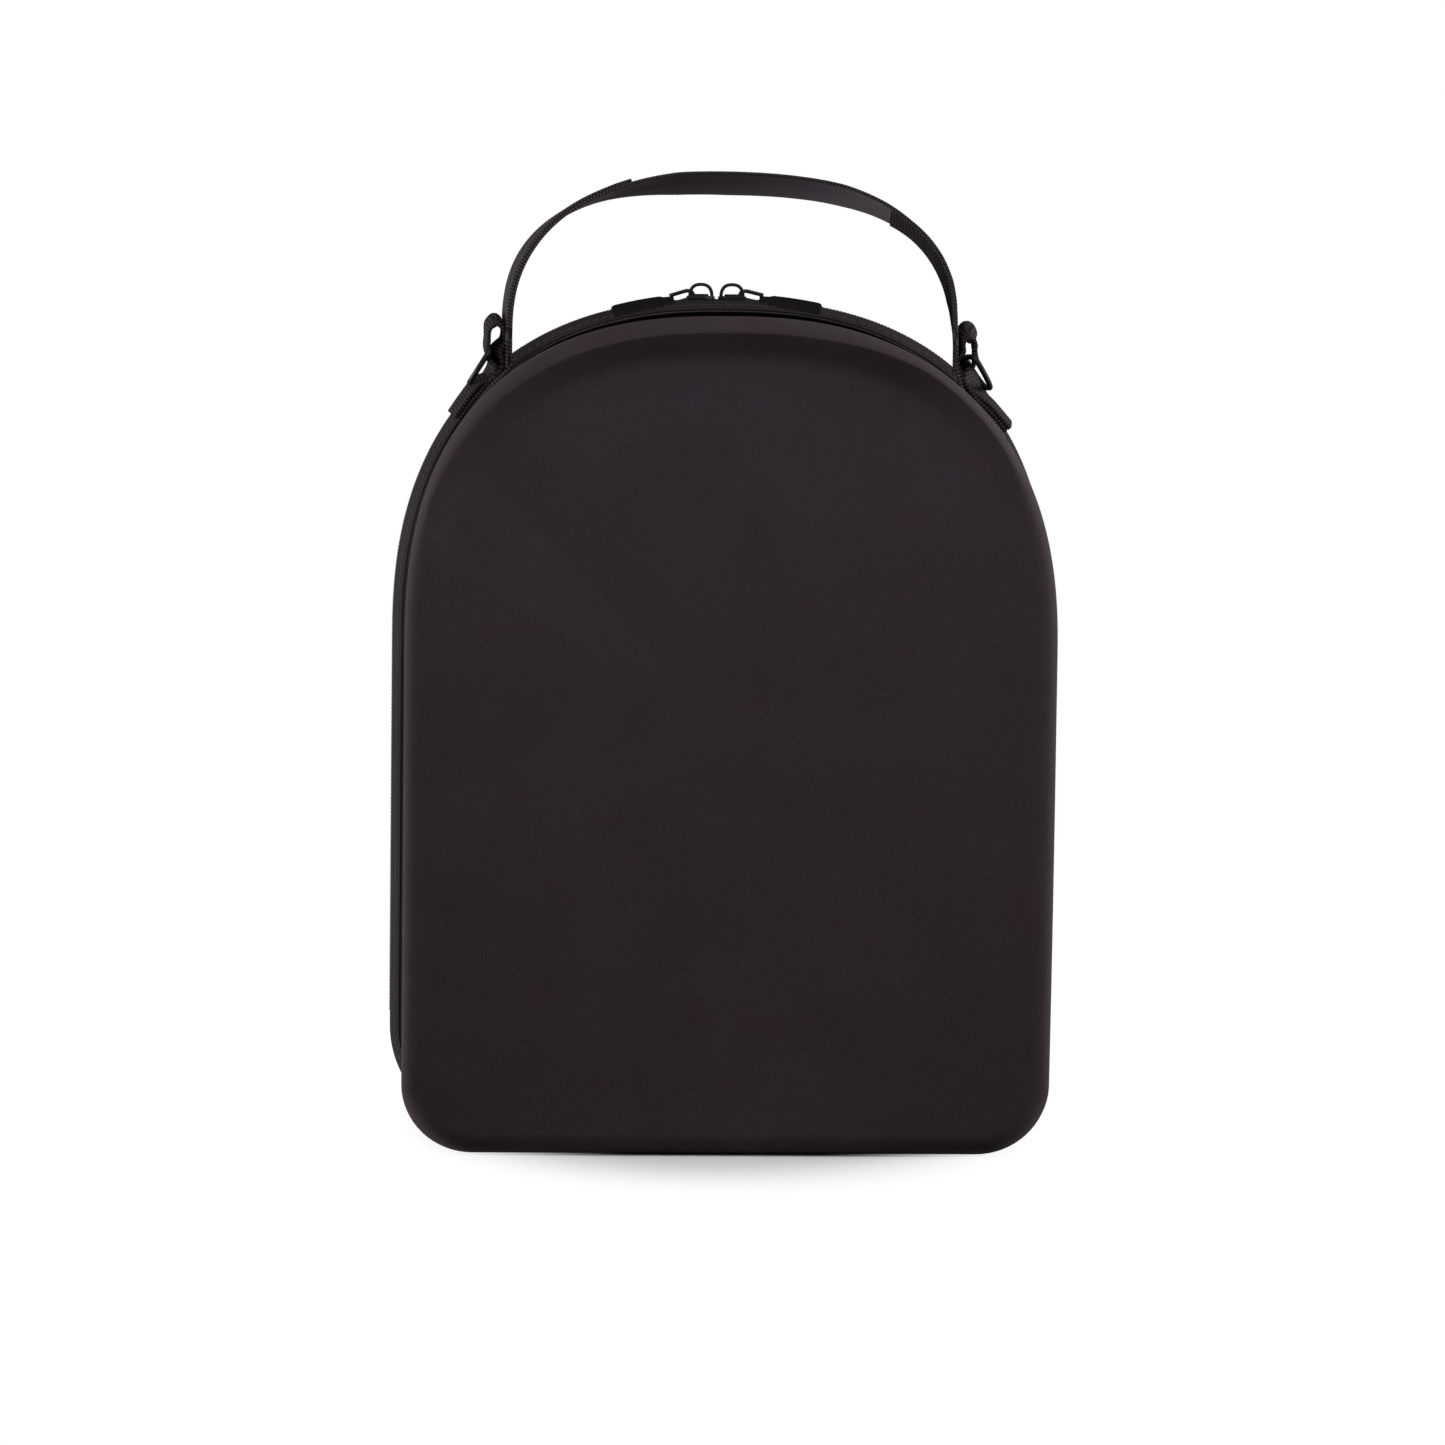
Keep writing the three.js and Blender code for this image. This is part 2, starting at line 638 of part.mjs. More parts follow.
// Link: a bent wire from the pull's end, round the bridge's outer leg and back
function link({ x, way }) {
  const pullEnd = overArch(x + way * PULL_START, GAP + PULL_THICKNESS / 2, 0, RIM_POWER);
  const start = new THREE.Vector3(pullEnd.x - way * GAP, 0, pullEnd.y);
  const bend = new THREE.Vector3(start.x - way * LINK_LENGTH, 0, CASE_HEIGHT + LINK_LIFT);
  const along = bend.clone().sub(start).normalize();
  const aside = new THREE.Vector3(0, 1, 0);
  const up = along.clone().cross(aside);
  const bendRadius = LINK_HALF_WIDTH - LINK_WIRE_RADIUS;
  const reach = start.distanceTo(bend) - bendRadius;
  const flat = [new THREE.Vector2(0, -bendRadius), new THREE.Vector2(reach / 2, -bendRadius)];
  for (let i = 0; i <= LINK_TURN_STEPS; i += 1) {
    const angle = Math.PI * (i / LINK_TURN_STEPS - 0.5);
    flat.push(new THREE.Vector2(reach + bendRadius * Math.cos(angle), bendRadius * Math.sin(angle)));
  }
  flat.push(new THREE.Vector2(reach / 2, bendRadius), new THREE.Vector2(0, bendRadius));
  const points = flat.map((p) => start.clone().addScaledVector(along, p.x).addScaledVector(aside, p.y));
  const rings = points.map((point, i) => {
    const before = points[Math.max(i - 1, 0)];
    const after = points[Math.min(i + 1, points.length - 1)];
    const heading = after.clone().sub(before).normalize();
    return circle(point, heading.cross(up), up, LINK_WIRE_RADIUS, WIRE_SIDES);
  });
  return loft(rings);
}

addPiece('back_shell', backShell(), shellMaterial);
addPiece('front_shell', frontShell(), shellMaterial);

const coilHalf = SLOT_HALF - GAP;
const tapeOuter = rimPath(GAP);
const tapeInner = rimPath(GAP + TAPE_THICKNESS);
addPiece('zip_tape_back', strip(tapeOuter, tapeInner, -FLANGE_DEPTH, -SLOT_HALF), tapeMaterial);
addPiece('zip_tape_front', strip(tapeOuter, tapeInner, SLOT_HALF, FLANGE_DEPTH), tapeMaterial);
addPiece('zip_coil', strip(rimPath(0), rimPath(COIL_THICKNESS), -coilHalf, coilHalf), coilMaterial);
addPiece('hinge_strip', strip(hingePath(0), hingePath(HINGE_THICKNESS), -coilHalf, coilHalf), tapeMaterial);

addPiece('strap', strap(), webbingMaterial);
for (const side of ['left', 'right']) {
  addPiece(`strap_double_${side}`, strapDouble(side), webbingMaterial);
  addPiece(`ring_loop_${side}`, ringLoop(side), webbingMaterial);
  addPiece(`d_ring_${side}`, dRing(side), metalMaterial);
}
for (const zip of SLIDERS) {
  addPiece(`zip_slider_${zip.name}`, slider(zip), metalMaterial);
  addPiece(`zip_link_${zip.name}`, link(zip), metalMaterial);
  addPiece(`zip_pull_${zip.name}`, pull(zip), rubberMaterial);
}

export default carrier;
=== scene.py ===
"""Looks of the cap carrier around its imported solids.

Shapes are worked out in millimetres in the part's own frame and turned into metres when a mesh
is made. The plain back panel faces -Y, the zip lies in the plane Y = 0 and the case stands on Z = 0.
"""

import math

import bmesh
import bpy
import numpy as np
from mathutils import Matrix


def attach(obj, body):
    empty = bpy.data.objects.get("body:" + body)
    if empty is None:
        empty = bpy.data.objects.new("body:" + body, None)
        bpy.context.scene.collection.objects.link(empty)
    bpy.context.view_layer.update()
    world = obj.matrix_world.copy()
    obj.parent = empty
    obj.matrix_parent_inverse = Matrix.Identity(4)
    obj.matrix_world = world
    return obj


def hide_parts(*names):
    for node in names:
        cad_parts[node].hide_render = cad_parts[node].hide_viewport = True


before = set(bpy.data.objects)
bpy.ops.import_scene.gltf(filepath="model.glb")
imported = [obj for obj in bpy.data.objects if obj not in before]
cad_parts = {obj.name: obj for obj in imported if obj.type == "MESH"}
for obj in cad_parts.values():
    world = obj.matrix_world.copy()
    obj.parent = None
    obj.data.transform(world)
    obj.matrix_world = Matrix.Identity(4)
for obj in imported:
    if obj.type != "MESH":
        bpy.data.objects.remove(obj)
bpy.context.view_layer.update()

MM = 0.001
SIGNS = {"left": -1, "right": 1}

# Case
CASE_HEIGHT = 300.0
HALF_WIDTH = 119.0
HALF_DEPTH = 78.0
SPRING_HEIGHT = 178.0
RIM_POWERS = (2.38, 2.45)
WALL_POWER = 2.43
WALL_POWERS = (WALL_POWER, WALL_POWER)
FLANGE_CORNER = 36.0
WALL_CORNER = 30.0
SMALLEST_CORNER = 4.0
WALL = 4.0
GAP = 0.3
SLOT_HALF = 3.1
SLOT_FILL = 3.25
ZIP_END_HEIGHT = 42.0
TAPE_CORNER = (79.4, 37.0)
TAPE_TURN = math.radians(64.0)

# Rim of a shell from the slot beside the zip over the flange to the wall: depth, inset, lift, corner
FLANGE_ROWS = (
    (SLOT_HALF, 8.6, 4.0, 26.0), (SLOT_HALF, 2.1, 0.6, 37.4), (SLOT_HALF + 0.2, 1.7, 0.3, 37.8),
    (SLOT_HALF + 0.6, 1.5, 0.1, FLANGE_CORNER), (4.4, 1.55, 0.0, FLANGE_CORNER), (5.9, 2.2, 0.0, 37.4),
    (7.4, 3.1, 0.0, 36.5), (8.6, 4.0, 0.0, 35.6), (9.0, 4.35, 0.0, 35.3), (9.05, 4.55, 0.1, 35.0),
    (8.6, 4.75, 0.2, 34.8), (5.8, 4.95, 0.6, 34.4), (5.4, 5.3, 1.0, 33.6), (5.4, 6.4, 1.0, 32.0),
    (5.8, 6.75, 0.6, 31.2), (7.0, 6.8, 0.2, 30.6), (10.0, 6.7, 0.0, WALL_CORNER),
)
BINDING_ROWS = (3, 11)

# Inside of each shell: depth, inset, lift, corner
BACK_INSIDE = ((68.7, 24.0, 18.0, 14.0), (66.0, 13.0, 7.0, 22.0), (58.0, 9.8, WALL, 26.0))
FRONT_INSIDE = ((72.0, 34.0, 28.0, 5.0), (64.0, 15.0, 9.0, 21.0), (50.0, 9.4, WALL, 26.0))

# Back panel: outer edge, recess inside the border, shallow dish in the middle and fall at the base
EDGE_INSET = 5.5
EDGE_WIDEN = 0.3
EDGE_CORNER = 25.0
EDGE_POWERS = (2.54, 2.37)
RECESS = 4.8
DISH_DEPTH = 1.4
DISH_CENTRE = 150.0
DISH_RADII = (104.0, 140.0)
RECESS_STEEP = 5.0
RECESS_WIDTH = 12.0
LOWER_FALL = 5.5
LOWER_FALL_START = 130.0

# Border of the back panel by place round it: -1 and 2 base, 0 right side, 0.5 top, 1 left side
BORDER_PLACES = (
    -1.0, -0.4, 0.0, 0.12, 0.2, 0.31, 0.36, 0.42, 0.64, 0.7, 0.81, 0.86, 0.92, 1.0, 1.4, 2.0,
)
BORDER_WIDTHS = (8.5, 8.5, 9.0, 6.5, 3.4, 3.2, 4.3, 5.6, 5.9, 5.6, 4.2, 3.4, 6.5, 9.0, 8.5, 8.5)
BORDER_DEPTHS = (10.5, 8.0, 4.5, 4.8, 5.2, 5.5, 5.5, 5.5, 5.5, 5.5, 5.5, 5.2, 4.8, 4.5, 8.0, 10.5)
BORDER_RECESSES = (0.0, 0.0, 0.0, 0.02, 0.25, 0.9, 1.0, 1.0, 1.0, 1.0, 0.95, 0.5, 0.1, 0.0, 0.0, 0.0)
BORDER_POWERS = (2.0, 2.2, 2.6, 2.3, 1.8, 1.55, 1.5, 1.45, 1.45, 1.5, 1.6, 1.9, 2.3, 2.6, 2.2, 2.0)

# Back panel's rows: shares of the wall, distances past the ridge, shares of the way out from the middle
BACK_WALL_SHARES = (0.3, 0.6, 0.85)
BORDER_STEPS = 18
BACK_FACE_ROWS = 8
RECESS_ROWS = (0.3, 0.7, 1.2, 2.0, 3.0, 4.0, 5.0, 6.0, 7.0, 8.0, 9.5, RECESS_WIDTH)
PANEL_SHARES = (0.92, 0.85, 0.77, 0.7, 0.62, 0.55, 0.4, 0.25, 0.1)

# Front shell
FRONT_EDGE_START = 50.0
FRONT_EDGE_TURN = math.radians(85.66)
FRONT_EDGE_STEPS = 19
FRONT_DOME_STEPS = 11
FRONT_FACE_ROWS = 12
FRONT_WALL_SHARES = (0.35, 0.7)
FRONT_EDGE_RADIUS = 26.0
FRONT_DOME_FALL = 0.000692
FRONT_DOME_EDGE = 84.0
FRONT_WALL_INSET = 5.3

# Strap and the stacks that it is sewn into
STRAP_WIDTH = 25.0
STRAP_THICKNESS = 1.25
STRAP_Y = -28.0
STRAP_SHIFT = 1.4
STRAP_HALF_SPAN = 79.5
STRAP_FOOT_HEIGHT = 285.0
STRAP_RISE = 57.2
STRAP_POWER = 2.6
STRAP_LEAN = 18.0
STRAP_LEG_END = 277.0
STRAP_TILT_SPANS = (-1.0, -0.97, -0.9, -0.8, -0.6, -0.42, -0.25, 0.0, 0.5, 0.7, 0.8, 0.94, 1.0)
STRAP_TILTS = (-4.0, -4.5, -3.0, -0.5, 4.5, 11.0, 16.5, 17.3, 15.5, 11.0, 7.5, 6.4, 2.5)
STRAP_SKEW_SPANS = (-1.0, -0.93, -0.7, 0.979, 0.9945, 1.0)
STRAP_SKEWS = (-0.05, -0.05, 0.0, 0.0, 0.04, 0.085)
STRAP_DROP_SPANS = (-1.0, -0.5, -0.2, 0.3, 0.8, 1.0)
STRAP_DROPS = (0.4, 0.7, 1.0, 1.5, 1.2, 0.6)
STACK_START = 83.5
STACK_ENDS = {"left": 93.8, "right": 95.4}
STACK_TILT = 0.1
STACK_LIFTS = {"left": (1.9, 0.9), "right": (0.4, 2.2)}
LEFT_DOUBLE_END = -35.0
RIGHT_DOUBLE_END = 58.0
RIGHT_DOUBLE_THICKNESS = 0.8
LEFT_DOUBLE_FOOT = 275.0
RIGHT_DOUBLE_FOOT = 274.5
RIGHT_DOUBLE_SHIFT = 0.25
LAYER_BITE = 0.12
STRAP_BACK_RIBS = 0.03
FOOT_INSET = 5.6
FOOT_TURN_UP = (0.55, 0.9)
FOOT_TURN_DOWN = (0.1, 0.45)

# Ring loops and rings
LOOP_WIDTH = 20.0
LOOP_THICKNESS = 1.6
LOOP_RIBS = 0.12
LOOP_LEANS = {"left": (-0.05, math.radians(-10.5)), "right": (0.03, math.radians(-20.5))}
LOOP_DROPS = {"left": 1.7, "right": 4.1}
LOOP_HALVES = {"left": 2.8, "right": 2.3}
LOOP_CENTRES = {"left": 82.9, "right": 85.05}
LOOP_TAIL_MIDDLE = 90.0
LOOP_TAIL_STARTS = (2.1, 0.6)
RING_WIRE = 1.0
RING_HALF_WIDTH = 13.2
RING_DEPTH = 12.8
RING_CORNER = 9.0
RING_BAR_CORNER = 2.0
RING_BAR_HEIGHT = 280.5
RING_BAR_OUT = 0.7
RING_ANGLE = math.radians(58.0)
RING_LEANS = {"left": math.radians(1.0), "right": math.radians(2.5)}
RING_CENTRES = {"left": 84.2, "right": 84.9}

# Loop's route: distance out from its centre in half widths at its tails, bend and feet, and heights
LOOP_TAILS = {"left": (0.4, 0.3), "right": (0.45, 0.33)}
LOOP_OUT = (0.9, 1.05, 1.0, 0.8, 0.0, -0.8, -1.0)
LOOP_HEIGHTS = (272.5, 276.4, 279.6, 282.0, 286.0, 291.2, 293.4, 291.2, 286.0, 281.2, 276.5)
LOOP_FEET = {"left": (-0.08, -0.15), "right": (-1.2, -0.7)}

# Loop's turn by share of its length: where it stands free of the stack, and twists on top of that
LOOP_STANDING_SPANS = (0.16, 0.32, 0.68, 0.84)
LOOP_TWIST_SPANS = (0.1, 0.18, 0.31, 0.365, 0.71, 0.77, 0.82, 0.87)
LOOP_TWISTS = {
    "left": (0.0, 0.0, 0.0, 0.0, 0.0, -0.14, -0.14, 0.0),
    "right": (0.0, 0.2, 0.2, 0.0, 0.0, 0.12, 0.12, 0.0),
}

# Zip tape: its section as distance from the zip's middle and inset
TAPE_SECTION = (
    (3.2, 0.95), (3.2, 0.6), (3.5, 0.45), (4.5, 0.72), (6.0, 1.42), (7.5, 2.33), (8.7, 3.2),
    (9.25, 3.65), (9.3, 3.9), (9.1, 4.0), (8.6, 3.75), (7.4, 2.9), (5.9, 2.0), (4.4, 1.3),
)

# Hinge strip: its section as distance from the zip's middle and depth under the strip's top
HINGE_INSET = 0.6
HINGE_SECTION = (
    (-SLOT_FILL, 2.0), (-SLOT_FILL, 0.5), (-SLOT_FILL + 0.4, 0.1), (-1.2, 0.0),
    (1.2, 0.0), (SLOT_FILL - 0.4, 0.1), (SLOT_FILL, 0.5), (SLOT_FILL, 2.0),
)

# Zip teeth and the stitches along the tapes
COIL_TOP = 1.25
COIL_FOOT = 2.2
TOOTH_SIZE = (3.5, 1.0, 1.15)
TOOTH_OUT = 1.2
TOOTH_SLANT = 0.16
TOOTH_STARTS = {-1: 0.4, 1: 0.9}
TOOTH_PITCH = 1.3
STITCH_SIZE = (2.5, 0.55, 0.24)
STITCH_OUT = 7.5
STITCH_INSET = 2.36
STITCH_PITCH = 3.2
STITCH_SLOPE = math.radians(31.0)

# Sliders: X of each and the way its pull lies, and the outline of half a plate
SLIDERS = {"left": (-8.9, -1), "right": (2.3, 1)}
SLIDER_TAPER = ((-5.0, -2.6), (-4.4, -3.0), (2.0, -4.3), (3.6, -3.9), (4.6, -2.4), (5.0, 0.0))
SLIDER_BASE = 299.4
SLIDER_PLATE = 1.4
SLIDER_BEVEL = 0.28
BLOCK_SHARES = (0.55, 0.4)
BLOCK_LEVELS = (-0.3, 0.7)
BLOCK_BEVEL = 0.3
BRIDGE_SINK = 0.4
BRIDGE_HALF_WIDTH = 1.3
BRIDGE_LENGTH = 9.1
BRIDGE_HEIGHT = 5.1
BRIDGE_WIRE = 1.2
BRIDGE_POWER = 2.5

# Links and pulls on the rim's near slope, where LINK_IN and LINK_BEND are a link's start and bend
RIM_SLOPE = math.radians(27.0)
RIM_SLOPE_HEIGHT = -0.1
LINK_WIRE = 0.7
LINK_HALF_WIDTH = 2.7
LINK_ROLL = math.radians(45.0)
LINK_IN = (0.6, -1.0, 0.5)
LINK_BEND = (1.6, -0.4, 2.3)
PULL_START = 9.8
PULL_LENGTH = 22.5
PULL_HALF_WIDTH = 4.2
PULL_THICKNESS = 1.9
PULL_CORNER = 1.6
PULL_DOWN = (3.3, 4.9)
PULL_LIFT = 0.1
PULL_NECK_PLACES = (0, 0.16, 0.22, 0.8)
PULL_NECK_SHARES = (0.7, 0.74, 1, 1)
PULL_CORNER_START = 0.92
PULL_CORNER_SHARE = 0.08
PULL_ROUND_START = 0.96
PULL_ROUND_SHARE = 0.04
PULL_END_SHARE = 0.5
PULL_FIELD_SPAN = (0.28, 0.9)
PULL_FIELD_DEPTH = 0.16
PULL_BORDER = 1.0
PULL_TOP = 0.4

# Fineness, and the ribs and selvedges of the webbing
FINE_STEP = 0.4
WIRE_STEP = 0.8
SLIDER_STEP = 0.5
TAPE_TURN_STEPS = 16
RIM_SIDE_STEPS = 40
STRAP_STEPS = 160
STACK_STEPS = 6
FLAT_STEPS = 9
BRIDGE_STEPS = 33
BRIDGE_SIDES = 16
PULL_STEPS = (40, 10)
PULL_SIDES = 32
RING_STEPS = (6, 18)
LINK_STEPS = (8, 20)
BEAD_TURNS = 8
BEAD_RINGS = 3
BASE_STEPS = 10
CORNER_STEPS = 16
SIDE_STEPS = 12
ARCH_STEPS = 64
RIB_PITCH = 1.3
RIB_DEPTH = 0.16
RIB_SLANT = 0.5
RIB_STEPS = 5
SELVEDGE_TURNS = (-60, -25, 25, 60)


def unit(v):
    v = np.asarray(v, float)
    return v / np.linalg.norm(v, axis=-1, keepdims=True)


def eased(values, power):
    """Values raised to a power, each with its sign kept."""
    return np.sign(values) * np.abs(values) ** power


def lengths_along(points):
    """Length from the start of a polyline to each of its points."""
    return np.concatenate([[0], np.cumsum(np.linalg.norm(np.diff(points, axis=0), axis=1))])


def lengths_round(loop):
    """The same for a closed loop, up to the return to its first point."""
    return lengths_along(np.concatenate([loop, loop[:1]]))


def make_object(name, points, faces, uv=None, sharp=None):
    """Object from points in millimetres, with its faces turned outward. uv has a pair in millimetres
    for each corner of a face."""
    mesh = bpy.data.meshes.new(name)
    mesh.from_pydata((np.asarray(points, float) * MM).tolist(), [], faces)
    if uv is not None:
        layer = mesh.uv_layers.new(name="weave")
        flat = np.concatenate([np.asarray(corners, float).ravel() for corners in uv])
        layer.data.foreach_set("uv", flat)
    shape = bmesh.new()
    shape.from_mesh(mesh)
    if shape.calc_volume(signed=True) < 0:
        mesh.flip_normals()
    shape.free()
    mesh.shade_smooth()
    if sharp is not None:
        mesh.set_sharp_from_angle(angle=math.radians(sharp))
    obj = bpy.data.objects.new(name, mesh)
    bpy.context.scene.collection.objects.link(obj)
    return obj


def loft(rings, across=None, along=None, loop=False, slant=None):
    """Points, faces and corner pairs of a skin through closed rings. across gives the pairs' first
    value for each point of a ring and its closing point, along the second value for each ring, and
    slant what is added to the second value for each point of a ring."""
    rings = np.asarray(rings, float)
    count, size = rings.shape[:2]
    across = np.arange(size + 1.0) if across is None else np.asarray(across, float)
    along = np.arange(count + 1.0) if along is None else np.asarray(along, float)
    slant = np.zeros(size + 1) if slant is None else np.asarray(slant, float)
    points = rings.reshape(-1, 3)
    faces = []
    uv = []
    for i in range(count if loop else count - 1):
        near = i * size
        far = ((i + 1) % count) * size
        for j in range(size):
            k = (j + 1) % size
            faces.append((near + j, near + k, far + k, far + j))
            uv.append((
                (across[j], along[i] + slant[j]), (across[j + 1], along[i] + slant[j + 1]),
                (across[j + 1], along[i + 1] + slant[j + 1]), (across[j], along[i + 1] + slant[j]),
            ))
    if not loop:
        last = (count - 1) * size
        for ring in (tuple(range(size))[::-1], tuple(range(last, last + size))):
            faces.append(ring)
            uv.append([(points[i][0], points[i][2]) for i in ring])
    return points, faces, uv


def joined(*shapes):
    """One list of points and faces out of several."""
    points = []
    faces = []
    start = 0
    for shape_points, shape_faces in shapes:
        points.append(np.asarray(shape_points, float))
        faces.extend(tuple(i + start for i in face) for face in shape_faces)
        start += len(shape_points)
    return np.concatenate(points), faces


def repeated(shape, origins, axes):
    """Copies of a small shape, each at its origin and turned to its three axes."""
    base_points, base_faces = shape
    copies = [origin + base_points @ frame for origin, frame in zip(origins, axes)]
    return joined(*[(copy, base_faces) for copy in copies])


def resampled(points, step):
    """Points at even steps along a polyline, with the length at each."""
    points = np.asarray(points, float)
    lengths = lengths_along(points)
    at = np.linspace(0, lengths[-1], max(int(round(lengths[-1] / step)), 2) + 1)
    return np.stack([np.interp(at, lengths, column) for column in points.T], 1), at


def blend(at, start, end, first, last):
    """Straight blend from first, at start, to last, at end."""
    return (end - at) / (end - start) * first + (at - start) / (end - start) * last


def smooth_curve(points, per_span=16):
    """Centripetal Catmull-Rom curve through the points."""
    points = np.asarray(points, float)
    padded = np.concatenate([[2 * points[0] - points[1]], points, [2 * points[-1] - points[-2]]])
    curve = []
    for a, b, c, d in zip(padded[:-3], padded[1:-2], padded[2:-1], padded[3:]):
        spans = [math.sqrt(np.linalg.norm(q - p)) for p, q in ((a, b), (b, c), (c, d))]
        k0, k1, k2, k3 = np.cumsum([0.0] + spans)
        t = np.linspace(k1, k2, per_span, endpoint=False)[:, None]
        ab = blend(t, k0, k1, a, b)
        bc = blend(t, k1, k2, b, c)
        cd = blend(t, k2, k3, c, d)
        curve.append(blend(t, k1, k2, blend(t, k0, k2, ab, bc), blend(t, k1, k3, bc, cd)))
    return np.concatenate(curve + [points[-1:]])


def arch(turn, half_width, top, power):
    """Flat (x, z) points of the arched top."""
    up = np.abs(np.sin(turn))
    x = eased(np.cos(turn), 2 / power) * half_width
    z = SPRING_HEIGHT + (top - SPRING_HEIGHT) * up ** (2 / power)
    return np.stack([x, z], 1)


def over_arch(x, rise, inset, power):
    """Point over the arched top at x, raised square to it."""
    half = HALF_WIDTH - inset
    height = CASE_HEIGHT - inset - SPRING_HEIGHT
    share = (abs(x) / half) ** power
    z = SPRING_HEIGHT + height * (1 - share) ** (1 / power)
    fall = (abs(x) / half) ** (power - 1) * (1 - share) ** (1 / power - 1)
    normal = unit([math.copysign(fall * height / half, x), 1.0])
    return np.array([x, z]) + rise * normal


def half_outline(inset, lift, corner, power, widen):
    """Right half of the outline, from the bottom middle to the top middle."""
    half = HALF_WIDTH - inset + widen
    base_x = np.linspace(0, half - corner, BASE_STEPS, endpoint=False)
    base = np.stack([base_x, np.full_like(base_x, lift)], 1)
    angle = np.linspace(-math.pi / 2, 0, CORNER_STEPS, endpoint=False)
    turn = np.stack([half - corner + corner * np.cos(angle), lift + corner + corner * np.sin(angle)], 1)
    side_z = np.linspace(lift + corner, SPRING_HEIGHT, SIDE_STEPS, endpoint=False)
    side = np.stack([np.full_like(side_z, half), side_z], 1)
    top = arch(np.linspace(0, math.pi / 2, ARCH_STEPS + 1), half, CASE_HEIGHT - inset, power)
    return np.concatenate([base, turn, side, top])


def outline(inset, lift, corner, powers, widen=0.0):
    """Closed outline of the case: from the bottom middle round the right side, the top and the left.
    powers shape the arch's left and right shoulders."""
    right = half_outline(inset, lift, corner, powers[1], widen)
    left = half_outline(inset, lift, corner, powers[0], widen)
    return np.concatenate([right, left[1:-1][::-1] * (-1, 1)])


def ring_at(flat, depth):
    """Flat (x, z) points at a depth along Y."""
    return np.stack([flat[:, 0], np.broadcast_to(depth, len(flat)), flat[:, 1]], 1)


def row_rings(rows, powers, side):
    """Rings from rows of depth, inset, lift and corner."""
    return [
        ring_at(outline(inset, lift, corner, powers), side * depth)
        for depth, inset, lift, corner in rows
    ]


def shell(name, inside, outside, face_start):
    """Shell through closed rings. Spans of the outside up to face_start take their weave along the
    wall, and the rest take it flat on the face. The rim's binding has the second material."""
    face_start += len(inside)
    binding = [row + len(inside) for row in BINDING_ROWS]
    rings = np.array(inside + outside)
    across = lengths_round(outline(0, 0, WALL_CORNER, RIM_POWERS))
    steps = np.linalg.norm(np.diff(rings, axis=0), axis=2).max(1)
    along = np.concatenate([[0], np.cumsum(steps)])
    points, faces, uv = loft(rings, across, along)
    size = rings.shape[1]
    for i in range(face_start * size, len(faces)):
        uv[i] = [(points[k][0], points[k][2]) for k in faces[i]]
    obj = make_object(name, points, faces, uv, sharp=50)
    bound = [binding[0] * size <= i < binding[1] * size for i in range(len(faces))]
    obj.data.polygons.foreach_set("material_index", np.array(bound, dtype=np.int32))
    return obj


def wall_corner(inset, lift):
    return max(WALL_CORNER - max(lift, inset - EDGE_INSET), SMALLEST_CORNER)


def border_places(flat):
    """Place of each outline point round the border, as in BORDER_PLACES."""
    along = unit(np.roll(flat, -1, 0) - np.roll(flat, 1, 0))
    outward = np.stack([along[:, 1], -along[:, 0]], 1)
    turn = np.arctan2(flat[:, 1] - SPRING_HEIGHT, flat[:, 0]) / math.pi
    low = flat[:, 1] < SPRING_HEIGHT
    down = np.maximum(-outward[:, 1], 0)
    right = flat[:, 0] >= 0
    return np.where(low, np.where(right, -down, 1 + down), turn), outward


def recess_share(past):
    """Share of the recess reached at a distance past the ridge: an even slope that then eases out."""
    wide = RECESS_WIDTH - RECESS_STEEP
    part = np.clip((past - RECESS_STEEP) / wide, 0, 1)
    easing = wide * (part - part ** 3 + part ** 4 / 2)
    return (min(past, RECESS_STEEP) + easing) / (RECESS_STEEP + wide / 2)


def face_depth(flat):
    """Depth of the back face, which turns in a little towards the base."""
    low = np.maximum(1 - flat[:, 1] / LOWER_FALL_START, 0)
    return HALF_DEPTH - LOWER_FALL * low ** 2


def back_shell():
    """Back shell: rim, wall, rounded border and the panel inside it."""
    rings = row_rings(FLANGE_ROWS, RIM_POWERS, -1)
    edge = outline(EDGE_INSET, 0.0, EDGE_CORNER, EDGE_POWERS, EDGE_WIDEN)
    places, outward = border_places(edge)
    width = np.interp(places, BORDER_PLACES, BORDER_WIDTHS)
    drop = np.interp(places, BORDER_PLACES, BORDER_DEPTHS)
    power = np.interp(places, BORDER_PLACES, BORDER_POWERS)
    recess = RECESS * np.interp(places, BORDER_PLACES, BORDER_RECESSES)
    wall_start = rings[-1]
    wall_end = ring_at(edge, drop - face_depth(edge))
    for share in BACK_WALL_SHARES:
        rings.append(wall_start + (wall_end - wall_start) * share)
    for turn in np.linspace(0, math.pi / 2, BORDER_STEPS + 1):
        into = width * (1 - math.cos(turn) ** (2 / power))
        flat = edge - outward * into[:, None]
        rings.append(ring_at(flat, drop - drop * math.sin(turn) ** (2 / power) - face_depth(flat)))
    face_start = len(rings) - BACK_FACE_ROWS
    for past in RECESS_ROWS:
        flat = edge - outward * (width + past)[:, None]
        rings.append(ring_at(flat, recess * recess_share(past) - face_depth(flat)))
    last = np.stack([rings[-1][:, 0], rings[-1][:, 2]], 1)
    middle = np.array([0.0, DISH_CENTRE])
    for share in PANEL_SHARES:
        flat = middle + (last - middle) * share
        out = np.minimum(np.sum(((flat - middle) / DISH_RADII) ** 2, 1), 1)
        sunk = recess * share ** 2 + DISH_DEPTH * (1 - out) ** 2
        rings.append(ring_at(flat, sunk - face_depth(flat)))
    inside = row_rings(BACK_INSIDE, WALL_POWERS, -1)
    return shell("back_shell_skin", inside, rings, face_start)


